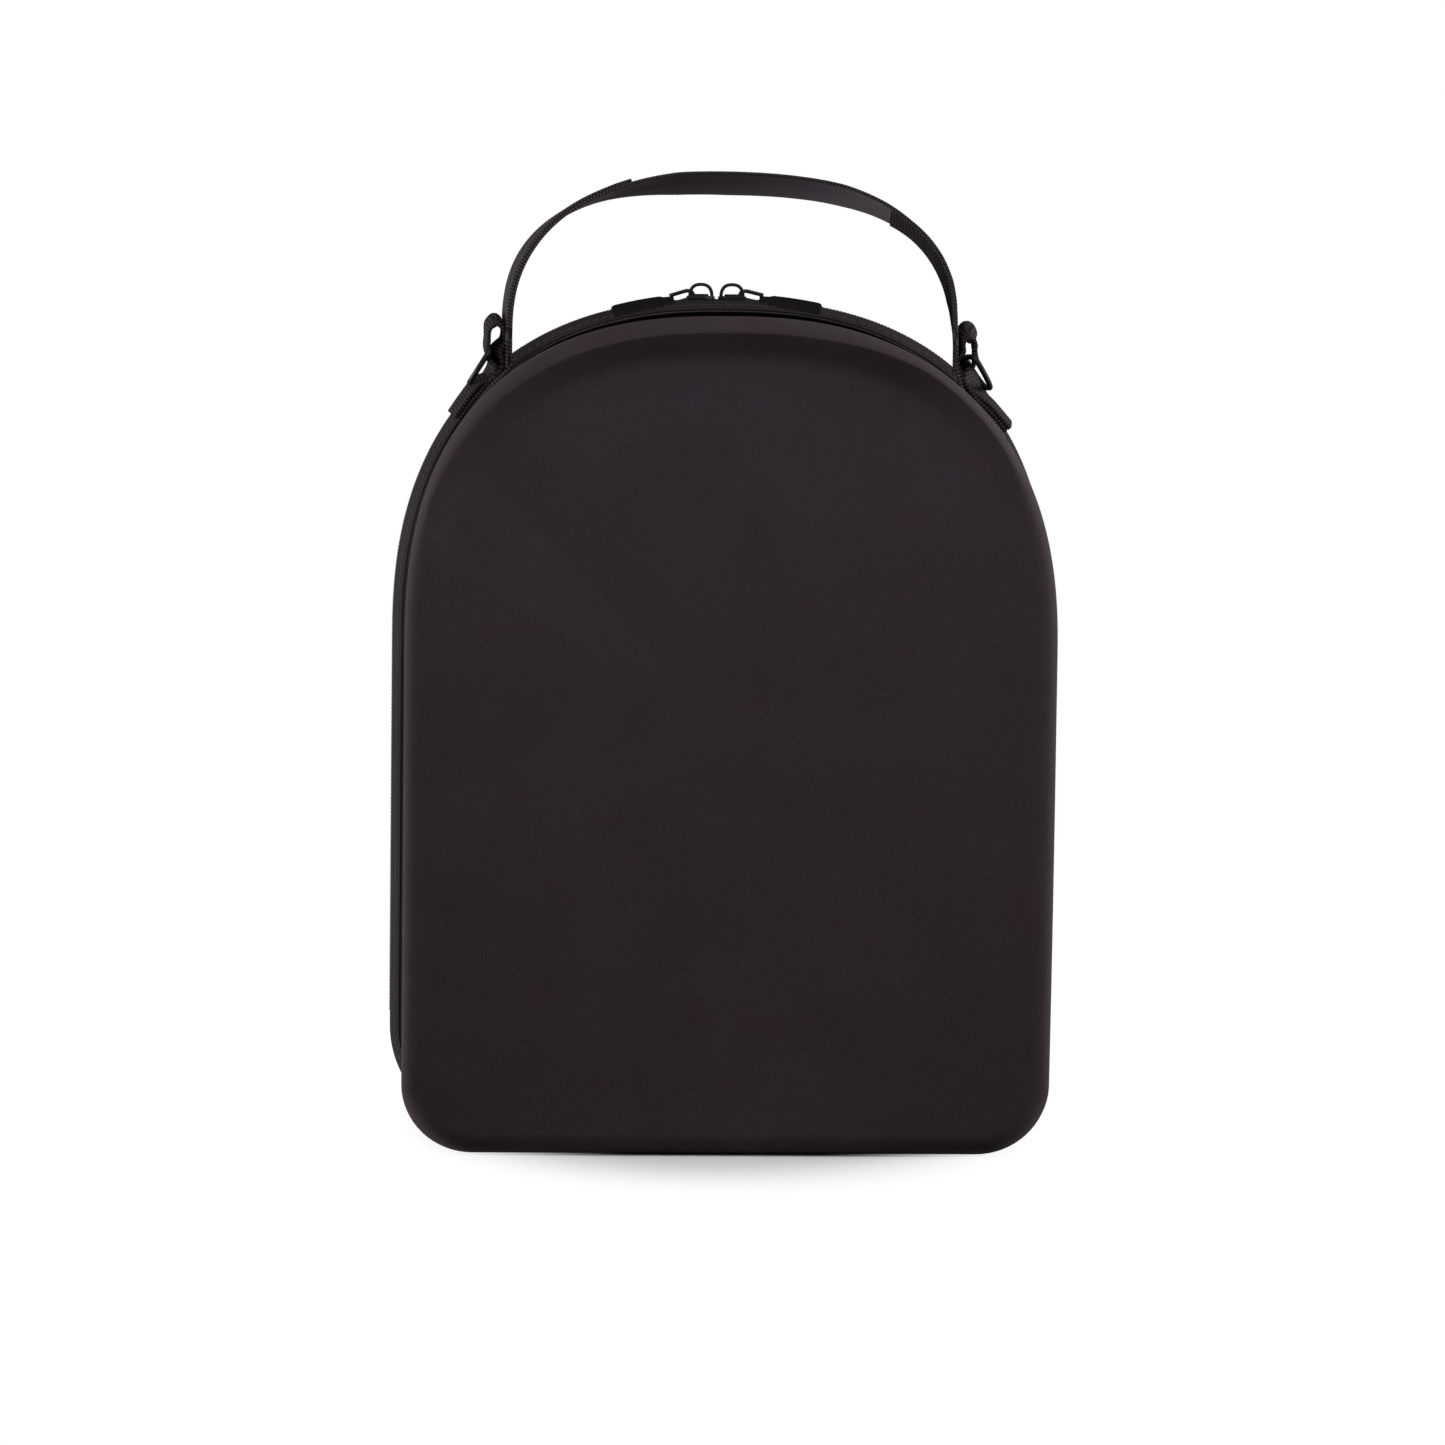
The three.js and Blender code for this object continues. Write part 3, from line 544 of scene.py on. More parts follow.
def front_shell():
    """Front shell: rim, wall, rounded edge and a shallow dome."""
    rings = row_rings(FLANGE_ROWS, RIM_POWERS, 1)
    rim_depth, rim_inset = FLANGE_ROWS[-1][:2]
    for share in FRONT_WALL_SHARES:
        depth = rim_depth + (FRONT_EDGE_START - rim_depth) * share
        inset = rim_inset + (FRONT_WALL_INSET - rim_inset) * share
        rings.append(ring_at(outline(inset, 0.0, WALL_CORNER, WALL_POWERS), depth))
    for turn in np.linspace(0, FRONT_EDGE_TURN, FRONT_EDGE_STEPS + 1):
        lift = FRONT_EDGE_RADIUS * (1 - math.cos(turn))
        inset = FRONT_WALL_INSET + lift
        depth = FRONT_EDGE_START + FRONT_EDGE_RADIUS * math.sin(turn)
        rings.append(ring_at(outline(inset, lift, wall_corner(inset, lift), WALL_POWERS), depth))
    face_start = len(rings) - FRONT_FACE_ROWS
    for inset in np.linspace(inset, FRONT_DOME_EDGE, FRONT_DOME_STEPS + 1)[1:]:
        depth = HALF_DEPTH - FRONT_DOME_FALL * (FRONT_DOME_EDGE - inset) ** 2
        lift = inset - FRONT_WALL_INSET
        rings.append(ring_at(outline(inset, lift, wall_corner(inset, lift), WALL_POWERS), depth))
    inside = row_rings(FRONT_INSIDE, WALL_POWERS, 1)
    return shell("front_shell_skin", inside, rings, face_start)


def rim_path(inset, tape=False):
    """Rim from the right zip end over the top to the left one. A tape goes on round the corners."""
    half = HALF_WIDTH - inset
    low = ZIP_END_HEIGHT
    corner = np.zeros((0, 2))
    if tape:
        low = TAPE_CORNER[1]
        angle = np.linspace(-TAPE_TURN, 0, TAPE_TURN_STEPS, endpoint=False)
        radius = half - TAPE_CORNER[0]
        corner = np.array(TAPE_CORNER) + radius * np.stack([np.cos(angle), np.sin(angle)], 1)
    z = np.linspace(low, SPRING_HEIGHT, RIM_SIDE_STEPS, endpoint=False)
    side = np.stack([np.full_like(z, half), z], 1)
    turn = np.linspace(0, math.pi / 2, ARCH_STEPS + 1)
    right = arch(turn, half, CASE_HEIGHT - inset, RIM_POWERS[1])
    left = arch(turn, half, CASE_HEIGHT - inset, RIM_POWERS[0])
    low_right = np.concatenate([corner, side])
    return np.concatenate([low_right, right, left[:-1][::-1] * (-1, 1), low_right[::-1] * (-1, 1)])


def strip(section, paths):
    """Strip with a closed section, through the flat path of each point of the section."""
    rings = np.stack([ring_at(path, y) for (y, _), path in zip(section, paths)], 1)
    return loft(rings, lengths_round(np.array(section)), lengths_along(paths[0]))


def rim_strip(section, tape=False):
    """Strip along the rim. Its section is a closed loop of (y, inset)."""
    return strip(section, [rim_path(inset, tape) for _, inset in section])


def zip_tape(name, side):
    section = [(side * y, inset) for y, inset in TAPE_SECTION]
    return make_object(name, *rim_strip(section, tape=True))


def hinge_strip(name):
    """Cloth strip from one zip end round the bottom to the other."""
    paths = []
    for _, below in HINGE_SECTION:
        whole = outline(HINGE_INSET + below, below, FLANGE_CORNER - below, RIM_POWERS)
        end = np.array([[HALF_WIDTH - HINGE_INSET - below, ZIP_END_HEIGHT - GAP]])
        right = np.concatenate([whole[: BASE_STEPS + CORNER_STEPS + 1], end])
        paths.append(np.concatenate([right[1:][::-1] * (-1, 1), right]))
    return make_object(name, *strip(HINGE_SECTION, paths))


def path_frames(flat, step, start):
    """Places at even steps along a flat (x, z) path: points, directions along it and outward."""
    at, lengths = resampled(flat, FINE_STEP)
    direction = unit(np.gradient(at, axis=0))
    where = np.arange(start, lengths[-1], step)
    point = np.stack([np.interp(where, lengths, at[:, k]) for k in (0, 1)], 1)
    heading = unit(np.stack([np.interp(where, lengths, direction[:, k]) for k in (0, 1)], 1))
    outward = np.stack([heading[:, 1], -heading[:, 0]], 1)
    return point, heading, outward


def dome(length, width, height):
    """Small rounded bead: long along its first axis, with its base at zero on the third."""
    angle = 2 * math.pi * np.arange(BEAD_TURNS) / BEAD_TURNS
    round_points = np.stack([length / 2 * np.cos(angle), width / 2 * np.sin(angle)], 1)
    points = []
    for tilt in math.pi / 2 * np.arange(BEAD_RINGS) / BEAD_RINGS:
        level = np.full(BEAD_TURNS, height * math.sin(tilt))
        points.append(np.column_stack([round_points * math.cos(tilt), level]))
    points = np.concatenate(points + [[(0.0, 0.0, height)]])
    top = len(points) - 1
    faces = [tuple(range(BEAD_TURNS))[::-1]]
    for near in range(0, top, BEAD_TURNS):
        far = near + BEAD_TURNS
        for j in range(BEAD_TURNS):
            k = (j + 1) % BEAD_TURNS
            over = (top,) if far == top else (far + k, far + j)
            faces.append((near + j, near + k, *over))
    return points, faces


def zip_coil(name):
    """Two rows of teeth that mesh along the middle, over a flat core."""
    section = [
        (-SLOT_FILL, COIL_FOOT), (-SLOT_FILL, COIL_TOP), (SLOT_FILL, COIL_TOP), (SLOT_FILL, COIL_FOOT),
    ]
    shapes = [rim_strip(section)[:2]]
    tooth = dome(*TOOTH_SIZE)
    for side, start in TOOTH_STARTS.items():
        point, heading, outward = path_frames(rim_path(COIL_TOP), TOOTH_PITCH, TOOTH_PITCH * start)
        axes = []
        for along, up in zip(ring_at(heading, 0.0), ring_at(outward, 0.0)):
            long = unit(np.array([0.0, side, 0.0]) + TOOTH_SLANT * along)
            axes.append(np.stack([long, np.cross(up, long), up]))
        shapes.append(repeated(tooth, ring_at(point, side * TOOTH_OUT), axes))
    return make_object(name, *joined(*shapes))


def rim_stitches(name, side):
    """Row of stitches along the zip tape, on the slope of its side."""
    path = rim_path(STITCH_INSET, tape=True)
    point, heading, outward = path_frames(path, STITCH_PITCH, STITCH_PITCH)
    lean = side * math.sin(STITCH_SLOPE)
    axes = []
    for along, up in zip(ring_at(heading, 0.0), ring_at(outward * math.cos(STITCH_SLOPE), lean)):
        axes.append(np.stack([along, np.cross(up, along), up]))
    origins = ring_at(point, side * STITCH_OUT)
    return make_object(name, *repeated(dome(*STITCH_SIZE), origins, axes))


def strap_arch():
    """Strap arch from the left foot to the right: points, tilts and skews."""
    turn = math.pi * (1 - np.arange(STRAP_STEPS + 1) / STRAP_STEPS)
    span = eased(np.cos(turn), 2 / STRAP_POWER)
    up = np.abs(np.sin(turn)) ** (2 / STRAP_POWER)
    sunk = np.interp(span, STRAP_DROP_SPANS, STRAP_DROPS)
    points = np.stack([
        STRAP_SHIFT + STRAP_HALF_SPAN * span, STRAP_Y + STRAP_LEAN * up,
        STRAP_FOOT_HEIGHT + (STRAP_RISE - sunk) * up,
    ], 1)
    tilts = np.radians(np.interp(span, STRAP_TILT_SPANS, STRAP_TILTS))
    return points, tilts, np.interp(span, STRAP_SKEW_SPANS, STRAP_SKEWS)


def stack_base(x, side):
    """Height of the sewn stack's lowest face over the wall, which changes towards the stack's end."""
    return GAP + np.interp(x, (STACK_START, STACK_ENDS[side]), STACK_LIFTS[side])


def strap_foot(side):
    """Down the leg, then out along the wall to the end of the sewn stack."""
    sign = SIGNS[side]
    leg_x = STRAP_SHIFT + sign * STRAP_HALF_SPAN
    leg_heights = ((STRAP_FOOT_HEIGHT + STRAP_LEG_END) / 2, STRAP_LEG_END)
    points = [(leg_x, STRAP_Y, z) for z in leg_heights]
    for x in np.linspace(STACK_START, STACK_ENDS[side], STACK_STEPS):
        p = over_arch(sign * x, stack_base(x, side) + STRAP_THICKNESS / 2, FOOT_INSET, WALL_POWER)
        points.append((p[0], STRAP_Y, p[1]))
    return np.array(points)


def webbing(name, points, tilts, skews, width, thick, offset=0.0, ribs=RIB_DEPTH, back_ribs=None):
    """Ribbed band through the points, with rounded selvedges. tilts turn its width about X, and
    skews turn it sideways. A band with back_ribs has its second material on its under face; on the
    strap that is a lighter tone of the webbing, painted sheen and painted light bounced up from the
    floor."""
    path, lengths = resampled(np.column_stack([points, tilts, skews]), RIB_PITCH / RIB_STEPS)
    point = path[:, :3]
    tilt = path[:, 3]
    along = unit(np.gradient(point, axis=0))
    across = np.stack([path[:, 4], np.cos(tilt), -np.sin(tilt)], 1)
    across = unit(across - along * np.sum(across * along, 1, keepdims=True))
    outward = np.cross(along, across)
    edge = thick / 2
    flat = np.linspace(-(width / 2 - edge), width / 2 - edge, FLAT_STEPS)
    bend = np.radians(SELVEDGE_TURNS)
    rim = np.stack([width / 2 - edge + edge * np.cos(bend), edge * np.sin(bend)], 1)
    top = np.stack([flat[::-1], np.full(FLAT_STEPS, edge)], 1)
    bottom = np.stack([flat, np.full(FLAT_STEPS, -edge)], 1)
    section = np.concatenate([bottom, rim, top, -rim])
    under = ribs if back_ribs is None else back_ribs
    plain = np.zeros(len(bend))
    grooves = np.concatenate([np.full(FLAT_STEPS, -under), plain, np.full(FLAT_STEPS, ribs), plain])
    slant = RIB_SLANT * RIB_PITCH * np.abs(section[:, 0]) / (width / 2)
    wave = 0.5 + 0.5 * np.cos(2 * math.pi * (lengths[:, None] + slant[None, :]) / RIB_PITCH)
    level = section[None, :, 1] + offset - grooves[None, :] * (1 - wave)
    pinch = 1 - ribs / (width / 2) * (grooves == 0)[None, :] * (1 - wave)
    sideways = section[None, :, 0] * pinch
    rings = (
        point[:, None, :] + across[:, None, :] * sideways[..., None]
        + outward[:, None, :] * level[..., None]
    )
    skin, faces, uv = loft(rings, lengths_round(section), lengths, slant=np.append(slant, slant[0]))
    band = make_object(name, skin, faces, uv)
    if back_ribs is not None:
        inner = [i % len(section) < FLAT_STEPS - 1 for i in range(len(faces))]
        band.data.polygons.foreach_set("material_index", np.array(inner, dtype=np.int32))
    return band


def strap(name):
    """Carry strap from the end of the left stack over the arch to the end of the right one."""
    middle, tilts, skews = strap_arch()
    left_curve = smooth_curve(np.concatenate([strap_foot("left")[::-1], middle[:1]]))
    right_curve = smooth_curve(np.concatenate([middle[-1:], strap_foot("right")]))
    points = np.concatenate([left_curve[:-1], middle, right_curve[1:]])
    up_left = np.linspace(0, 1, len(left_curve) - 1)
    down_right = np.linspace(0, 1, len(right_curve) - 1)

    def with_feet(turns, left_foot, right_foot):
        return np.concatenate([
            np.interp(up_left, FOOT_TURN_UP, (left_foot, turns[0])), turns,
            np.interp(down_right, FOOT_TURN_DOWN, (turns[-1], right_foot)),
        ])

    all_tilts = with_feet(tilts, -STACK_TILT, -STACK_TILT)
    all_skews = with_feet(skews, -STACK_TILT, STACK_TILT)
    return webbing(
        name, points, all_tilts, all_skews, STRAP_WIDTH, STRAP_THICKNESS, back_ribs=STRAP_BACK_RIBS,
    )


def strap_double(name, side):
    """Second layer of webbing on a leg: outside on the left, inside on the right."""
    layer = STRAP_THICKNESS - LAYER_BITE
    rows = np.column_stack(strap_arch())
    if side == "left":
        foot = rows[0].copy()
        foot[1:3] = STRAP_Y, LEFT_DOUBLE_FOOT
        rows = np.concatenate([[foot], rows[rows[:, 0] <= LEFT_DOUBLE_END]])
        thickness, offset = STRAP_THICKNESS, layer
    else:
        foot = rows[-1].copy()
        foot[1:3] = STRAP_Y, RIGHT_DOUBLE_FOOT
        rows = np.concatenate([rows[rows[:, 0] >= RIGHT_DOUBLE_END], [foot]])
        thickness, offset = RIGHT_DOUBLE_THICKNESS, RIGHT_DOUBLE_SHIFT - layer
    return webbing(name, rows[:, :3], rows[:, 3], rows[:, 4], STRAP_WIDTH, thickness, offset)


def ring_loop(name, side):
    """Webbing loop: in along the stack, up round the ring's bar and back under itself."""
    sign = SIGNS[side]
    centre = LOOP_CENTRES[side]
    inner = STRAP_THICKNESS + LOOP_THICKNESS / 2
    outer = inner + LOOP_THICKNESS
    first, last = LOOP_TAIL_STARTS

    def on_stack(x, rise):
        return over_arch(x, stack_base(x, side) + rise, FOOT_INSET, WALL_POWER)

    route = [on_stack(x, outer) for x in (STACK_ENDS[side], LOOP_TAIL_MIDDLE, centre + first)]
    low = LOOP_HEIGHTS[0]
    shrink = 1 - LOOP_DROPS[side] / (max(LOOP_HEIGHTS) - low)
    for out, height in zip(LOOP_TAILS[side] + LOOP_OUT + LOOP_FEET[side], LOOP_HEIGHTS):
        route.append(np.array([centre + LOOP_HALVES[side] * out, low + (height - low) * shrink]))
    route += [on_stack(x, inner) for x in (centre + last, LOOP_TAIL_MIDDLE, STACK_ENDS[side])]
    points = smooth_curve([(sign * p[0], STRAP_Y, p[1]) for p in route])
    skew, lean = LOOP_LEANS[side]
    way = np.linspace(0, 1, len(points))
    standing = np.interp(way, LOOP_STANDING_SPANS, (0, 1, 1, 0))
    twist = np.interp(way, LOOP_TWIST_SPANS, LOOP_TWISTS[side])
    tilts = -STACK_TILT + (lean + STACK_TILT) * standing
    skews = sign * STACK_TILT + (skew - sign * STACK_TILT) * standing + twist
    return webbing(name, points, tilts, skews, LOOP_WIDTH, LOOP_THICKNESS, ribs=LOOP_RIBS)


def wire(points, radius, sides, loop=False):
    """Round wire along the points of a flat path."""
    points = np.asarray(points, float)
    if loop:
        along = unit(np.roll(points, -1, 0) - np.roll(points, 1, 0))
    else:
        along = unit(np.gradient(points, axis=0))
    normal = unit(np.cross(points[1] - points[0], points[len(points) // 2] - points[0]))
    aside = np.cross(along, normal)
    angle = 2 * math.pi * np.arange(sides) / sides
    rings = (
        points[:, None, :]
        + radius * np.cos(angle)[None, :, None] * aside[:, None, :]
        + radius * np.sin(angle)[None, :, None] * normal[None, None, :]
    )
    return loft(rings, loop=loop)[:2]


def arc(centre, radius, start, end, steps):
    angle = np.radians(np.linspace(start, end, steps))
    return np.stack([centre[0] + radius * np.cos(angle), centre[1] + radius * np.sin(angle)], 1)


def d_ring(name, side):
    """D-ring with its straight bar in the loop, hanging out and down from it."""
    sign = SIGNS[side]
    straight = RING_HALF_WIDTH - RING_CORNER
    bar_straight = RING_HALF_WIDTH - RING_BAR_CORNER
    bow = RING_DEPTH - RING_CORNER
    few, many = RING_STEPS
    flat = np.concatenate([
        arc((bar_straight, RING_BAR_CORNER), RING_BAR_CORNER, -90, 0, few),
        arc((straight, bow), RING_CORNER, 0, 90, many),
        arc((-straight, bow), RING_CORNER, 90, 180, many),
        arc((-bar_straight, RING_BAR_CORNER), RING_BAR_CORNER, 180, 270, few),
    ])
    flat, _ = resampled(np.concatenate([flat, flat[:1]]), WIRE_STEP)
    reach = np.array([sign * math.cos(RING_ANGLE), 0.0, -math.sin(RING_ANGLE)])
    bar = np.array([sign * (RING_CENTRES[side] + RING_BAR_OUT), STRAP_Y, RING_BAR_HEIGHT])
    face = np.array([sign * math.sin(RING_ANGLE), 0.0, math.cos(RING_ANGLE)])
    lean = RING_LEANS[side]
    wide = math.cos(lean) * np.array([0.0, 1.0, 0.0]) - math.sin(lean) * face
    points = bar + flat[:-1, 1:] * reach + flat[:-1, :1] * wide
    return make_object(name, *wire(points, RING_WIRE, sides=14, loop=True))


def slab(flat, low, high, bevel):
    """Plate with an (x, y) outline and softened edges."""
    flat = np.asarray(flat, float)
    centre = flat.mean(0)
    radius = np.linalg.norm(flat - centre, axis=1, keepdims=True)
    drawn_in = centre + (flat - centre) * (1 - bevel / radius)
    levels = [(drawn_in, low), (flat, low + bevel), (flat, high - bevel), (drawn_in, high)]
    rings = [np.column_stack([p, np.full(len(p), z)]) for p, z in levels]
    return loft(rings)[:2]


def bridge(x, base):
    """Arched bridge of a slider, a flat wire with rounded corners."""
    half = BRIDGE_LENGTH / 2 - BRIDGE_WIRE / 2
    rise = BRIDGE_HEIGHT - BRIDGE_WIRE / 2
    angle = np.linspace(0, math.pi, BRIDGE_STEPS)
    across = eased(np.cos(angle), 2 / BRIDGE_POWER)
    up = np.abs(np.sin(angle)) ** (2 / BRIDGE_POWER)
    line = np.stack([x + half * across, np.zeros(BRIDGE_STEPS), base + rise * up], 1)
    along = unit(np.gradient(line, axis=0))
    aside = np.array([0.0, 1.0, 0.0])
    outward = np.cross(along, aside)
    turn = np.radians((np.arange(BRIDGE_SIDES) + 0.5) * 360 / BRIDGE_SIDES)
    wide = BRIDGE_HALF_WIDTH * eased(np.cos(turn), 0.5)
    thick = BRIDGE_WIRE / 2 * eased(np.sin(turn), 0.7)
    rings = line[:, None, :] + wide[None, :, None] * aside + thick[None, :, None] * outward[:, None, :]
    return loft(rings)[:2]


def slider(name, side):
    """Slider: a tapered plate, a rounded block on it and the bridge."""
    x, way = SLIDERS[side]
    top = SLIDER_BASE + SLIDER_PLATE
    half = np.array(SLIDER_TAPER)
    closed = np.concatenate([half, half[:-1][::-1] * (1, -1), half[:1]])
    curve, _ = resampled(smooth_curve(closed, 8), SLIDER_STEP)
    curve = curve[:-1] * (-way, 1)
    low, high = BLOCK_LEVELS
    plate = slab(curve + (x, 0), SLIDER_BASE, top, SLIDER_BEVEL)
    block = slab(curve * BLOCK_SHARES + (x, 0), top + low, top + high, BLOCK_BEVEL)
    return make_object(name, *joined(plate, block, bridge(x, top - BRIDGE_SINK)), sharp=40)


def on_slope(x, down, rise):
    """Point over the rim's near slope, down along it from the middle and raised off it."""
    aside = -(down * math.cos(RIM_SLOPE) + rise * math.sin(RIM_SLOPE))
    level = RIM_SLOPE_HEIGHT + rise * math.cos(RIM_SLOPE) - down * math.sin(RIM_SLOPE)
    flat = over_arch(x, level, 0, RIM_POWERS[int(x > 0)])
    return np.array([flat[0], aside, flat[1]])


def link(name, side):
    """Bent wire from the pull's end, round the bridge's outer leg and back."""
    x, way = SLIDERS[side]
    along, down, rise = LINK_IN
    start = on_slope(x + way * (PULL_START + along), PULL_DOWN[0] + down, PULL_THICKNESS / 2 + rise)
    inward, aside, rise = LINK_BEND
    bend = np.array([x + way * (BRIDGE_LENGTH / 2 - inward), aside, SLIDER_BASE + rise])
    along = unit(bend - start)
    wide = np.array([0.0, math.cos(LINK_ROLL), math.sin(LINK_ROLL)])
    wide = unit(wide - along * np.dot(wide, along))
    radius = LINK_HALF_WIDTH - LINK_WIRE
    reach = np.linalg.norm(bend - start) - radius
    few, many = LINK_STEPS
    leg = np.linspace(0, reach, few, endpoint=False)
    flat = np.concatenate([
        np.stack([leg, np.full(few, -radius)], 1),
        arc((reach, 0), radius, -90, 90, many),
        np.stack([leg[::-1], np.full(few, radius)], 1),
    ])
    points = start + flat[:, :1] * along + flat[:, 1:] * wide
    return make_object(name, *wire(points, LINK_WIRE, sides=10))


def pull(name, side):
    """Flat rubber pull on the rim's near slope: narrow neck, round end and a raised border on top."""
    x, way = SLIDERS[side]
    shares = np.concatenate([
        np.linspace(0, PULL_CORNER_START, PULL_STEPS[0], endpoint=False),
        np.linspace(PULL_CORNER_START, 1, PULL_STEPS[1]),
    ])
    half = PULL_HALF_WIDTH * np.interp(shares, PULL_NECK_PLACES, PULL_NECK_SHARES)
    tail = np.clip((shares - PULL_CORNER_START) / PULL_CORNER_SHARE, 0, 1)
    half = half - PULL_CORNER * (1 - np.sqrt(1 - tail ** 2))
    cross = np.radians(np.linspace(0, 360, PULL_SIDES, endpoint=False))
    wide = eased(np.cos(cross), 0.45)
    tall = 0.5 * eased(np.sin(cross), 0.5)
    rings = []
    for share, h in zip(shares, half):
        at = x + way * (PULL_START + PULL_LENGTH * share)
        middle = PULL_DOWN[0] + (PULL_DOWN[1] - PULL_DOWN[0]) * share
        past = max(share - PULL_ROUND_START, 0) / PULL_ROUND_SHARE
        end_round = max(math.sqrt(max(1 - past ** 2, 0)), PULL_END_SHARE)
        field = PULL_FIELD_DEPTH * (PULL_FIELD_SPAN[0] < share < PULL_FIELD_SPAN[1])
        inside = (np.abs(wide) * h < h - PULL_BORDER) & (np.sin(cross) > PULL_TOP)
        level = PULL_LIFT + PULL_THICKNESS * (0.5 + tall * end_round - field * inside)
        rings.append([on_slope(at, middle + w * h, rise) for w, rise in zip(wide, level)])
    points, faces, _ = loft(rings)
    return make_object(name, points, faces, sharp=60)


# Materials: tones that get the dark and the light colour, and tints that the hue drifts between:
# patches of uneven dye, and a redder, slightly darker base that is painted shade
TONE_SPAN = (0.3, 0.7)
DYE_AND_SHADE_TINTS = ((1.05, 0.93, 0.94, 1), (0.95, 1.03, 1.06, 1))


class Shader:
    """Short way to add nodes to one material."""

    def __init__(self, name, **sockets):
        self.material = bpy.data.materials.new(name)
        self.material.use_nodes = True
        self.tree = self.material.node_tree
        self.surface = self.tree.nodes["Principled BSDF"]
        for socket, value in sockets.items():
            self.surface.inputs[socket.replace("_", " ")].default_value = value

    def add(self, kind, settings=None, **sockets):
        """Add a node. A socket is given by its name, or by its number after the letter i."""
        node = self.tree.nodes.new("ShaderNode" + kind)
        for key, value in (settings or {}).items():
            setattr(node, key, value)
        for key, value in sockets.items():
            by_number = key[0] == "i" and key[1:].isdigit()
            socket = node.inputs[int(key[1:]) if by_number else key]
            if isinstance(value, bpy.types.NodeSocket):
                self.tree.links.new(value, socket)
            else:
                socket.default_value = value
        return node

    def math(self, operation, a, b=None):
        given = {"i0": a} if b is None else {"i0": a, "i1": b}
        return self.add("Math", {"operation": operation}, **given).outputs[0]

    def mixed(self, a, b, share):
        """Sum of two values, of which a has the share given and b the rest."""
        return self.math("ADD", self.math("MULTIPLY", a, share), self.math("MULTIPLY", b, 1 - share))

    def within(self, value, low, high):
        """Where a value lies between low and high, from 0 to 1."""
        return self.add("MapRange", Value=value, i1=low, i2=high).outputs[0]

    def noise(self, scale, detail):
        where = self.add("TexCoord").outputs["Object"]
        node = self.add("TexNoise", Vector=where, Scale=scale, Detail=detail, Roughness=0.55)
        return node.outputs["Fac"]

    def weave_axes(self, across, along):
        """Two angles that turn once for each thread pitch, in millimetres."""
        pairs = self.add("UVMap", {"uv_map": "weave"}).outputs[0]
        parts = self.add("SeparateXYZ", Vector=pairs)
        return (
            self.math("MULTIPLY", parts.outputs[0], 2 * math.pi / across),
            self.math("MULTIPLY", parts.outputs[1], 2 * math.pi / along),
        )

    def colour(self, fac, dark, light, worn=None):
        """Base colour from dark to light, and on to worn for the highest values."""
        ramp = self.add("ValToRGB", Fac=fac)
        if worn is not None:
            ramp.color_ramp.elements.new(1.0).color = (*worn, 1)
        ramp.color_ramp.elements[0].position = TONE_SPAN[0]
        ramp.color_ramp.elements[0].color = (*dark, 1)
        ramp.color_ramp.elements[1].color = (*light, 1)
        ramp.color_ramp.elements[1].position = TONE_SPAN[1]
        self.tree.links.new(ramp.outputs[0], self.surface.inputs["Base Color"])

    def drift(self, low, high):
        """Let the hue drift in patches of uneven dye and from the base to the top, on top of the colour
        so far. The redder, slightly darker base is painted shade.
        """
        where = self.add("TexCoord").outputs["Object"]
        height = self.within(self.add("SeparateXYZ", Vector=where).outputs[2], 0.0, CASE_HEIGHT * MM)
        patches = self.add("TexNoise", Vector=where, Scale=55.0, Detail=2.0).outputs["Fac"]
        # The height part is painted shade: the base comes out redder and a little darker than the top.
        share = self.mixed(self.within(patches, 0.35, 0.65), height, 0.6)
        hue = self.add("Mix", {"data_type": "RGBA"}, i0=share, i6=low, i7=high).outputs[2]
        socket = self.surface.inputs["Base Color"]
        plain = socket.links[0].from_socket
        multiply = {"data_type": "RGBA", "blend_type": "MULTIPLY"}
        dye_and_shade_mix = self.add("Mix", multiply, i0=1.0, i6=plain, i7=hue)
        self.tree.links.new(dye_and_shade_mix.outputs[2], socket)

    def roughness(self, fac, low, high):
        out = self.add("MapRange", Value=fac, i3=low, i4=high).outputs[0]
        self.tree.links.new(out, self.surface.inputs["Roughness"])

    def bump(self, height, distance, strength, under=None):
        given = {"Height": height, "Distance": distance, "Strength": strength}
        if under is not None:
            given["Normal"] = under
        return self.add("Bump", **given).outputs[0]

    def finish(self, normal):
        self.tree.links.new(normal, self.surface.inputs["Normal"])
        return self.material


def cloth(
    name, dark, light, across, along, depth, spec=0.05, sheen=0.0, contrast=0.16, ribs=0.0, dye_and_shade=False,
):
    """Plain weave: threads that pass over and under each other, with uneven dye and a soft face.
    ribs paints shade into the grooves across a webbing and a highlight onto its crests, and the dye
    switch lets the hue drift over a wide face: in patches of uneven dye, and towards a redder, slightly
    darker base, which is painted shade."""
    shader = Shader(name, Specular_IOR_Level=spec, Sheen_Weight=sheen, Sheen_Roughness=0.45)
    u, v = shader.weave_axes(across, along)
    crossing = shader.math("MULTIPLY", shader.math("SINE", u), shader.math("SINE", v))
    fine = shader.noise(900.0, 2.0)
    broad = shader.noise(28.0, 4.0)
    thread = shader.math("MULTIPLY_ADD", crossing, contrast)
    thread.node.inputs[2].default_value = 0.5
    mottled = shader.mixed(broad, fine, 0.7)
    tone = shader.mixed(mottled, thread, 0.6)
    # Ribs: painted shade in the grooves across the webbing and painted highlight on the crests.
    if ribs:
        _, turn = shader.weave_axes(across, RIB_PITCH)
        tone = shader.math("ADD", tone, shader.math("MULTIPLY", shader.math("COSINE", turn), ribs))
    shader.colour(tone, dark, light)
    if dye_and_shade:
        shader.drift(*DYE_AND_SHADE_TINTS)
    shader.roughness(mottled, 0.72, 0.86)
    lumps = shader.bump(broad, 0.0006, 0.25)
    grain = shader.bump(fine, 0.00006, 0.6, lumps)
    return shader.finish(shader.bump(crossing, depth, 0.8, grain))


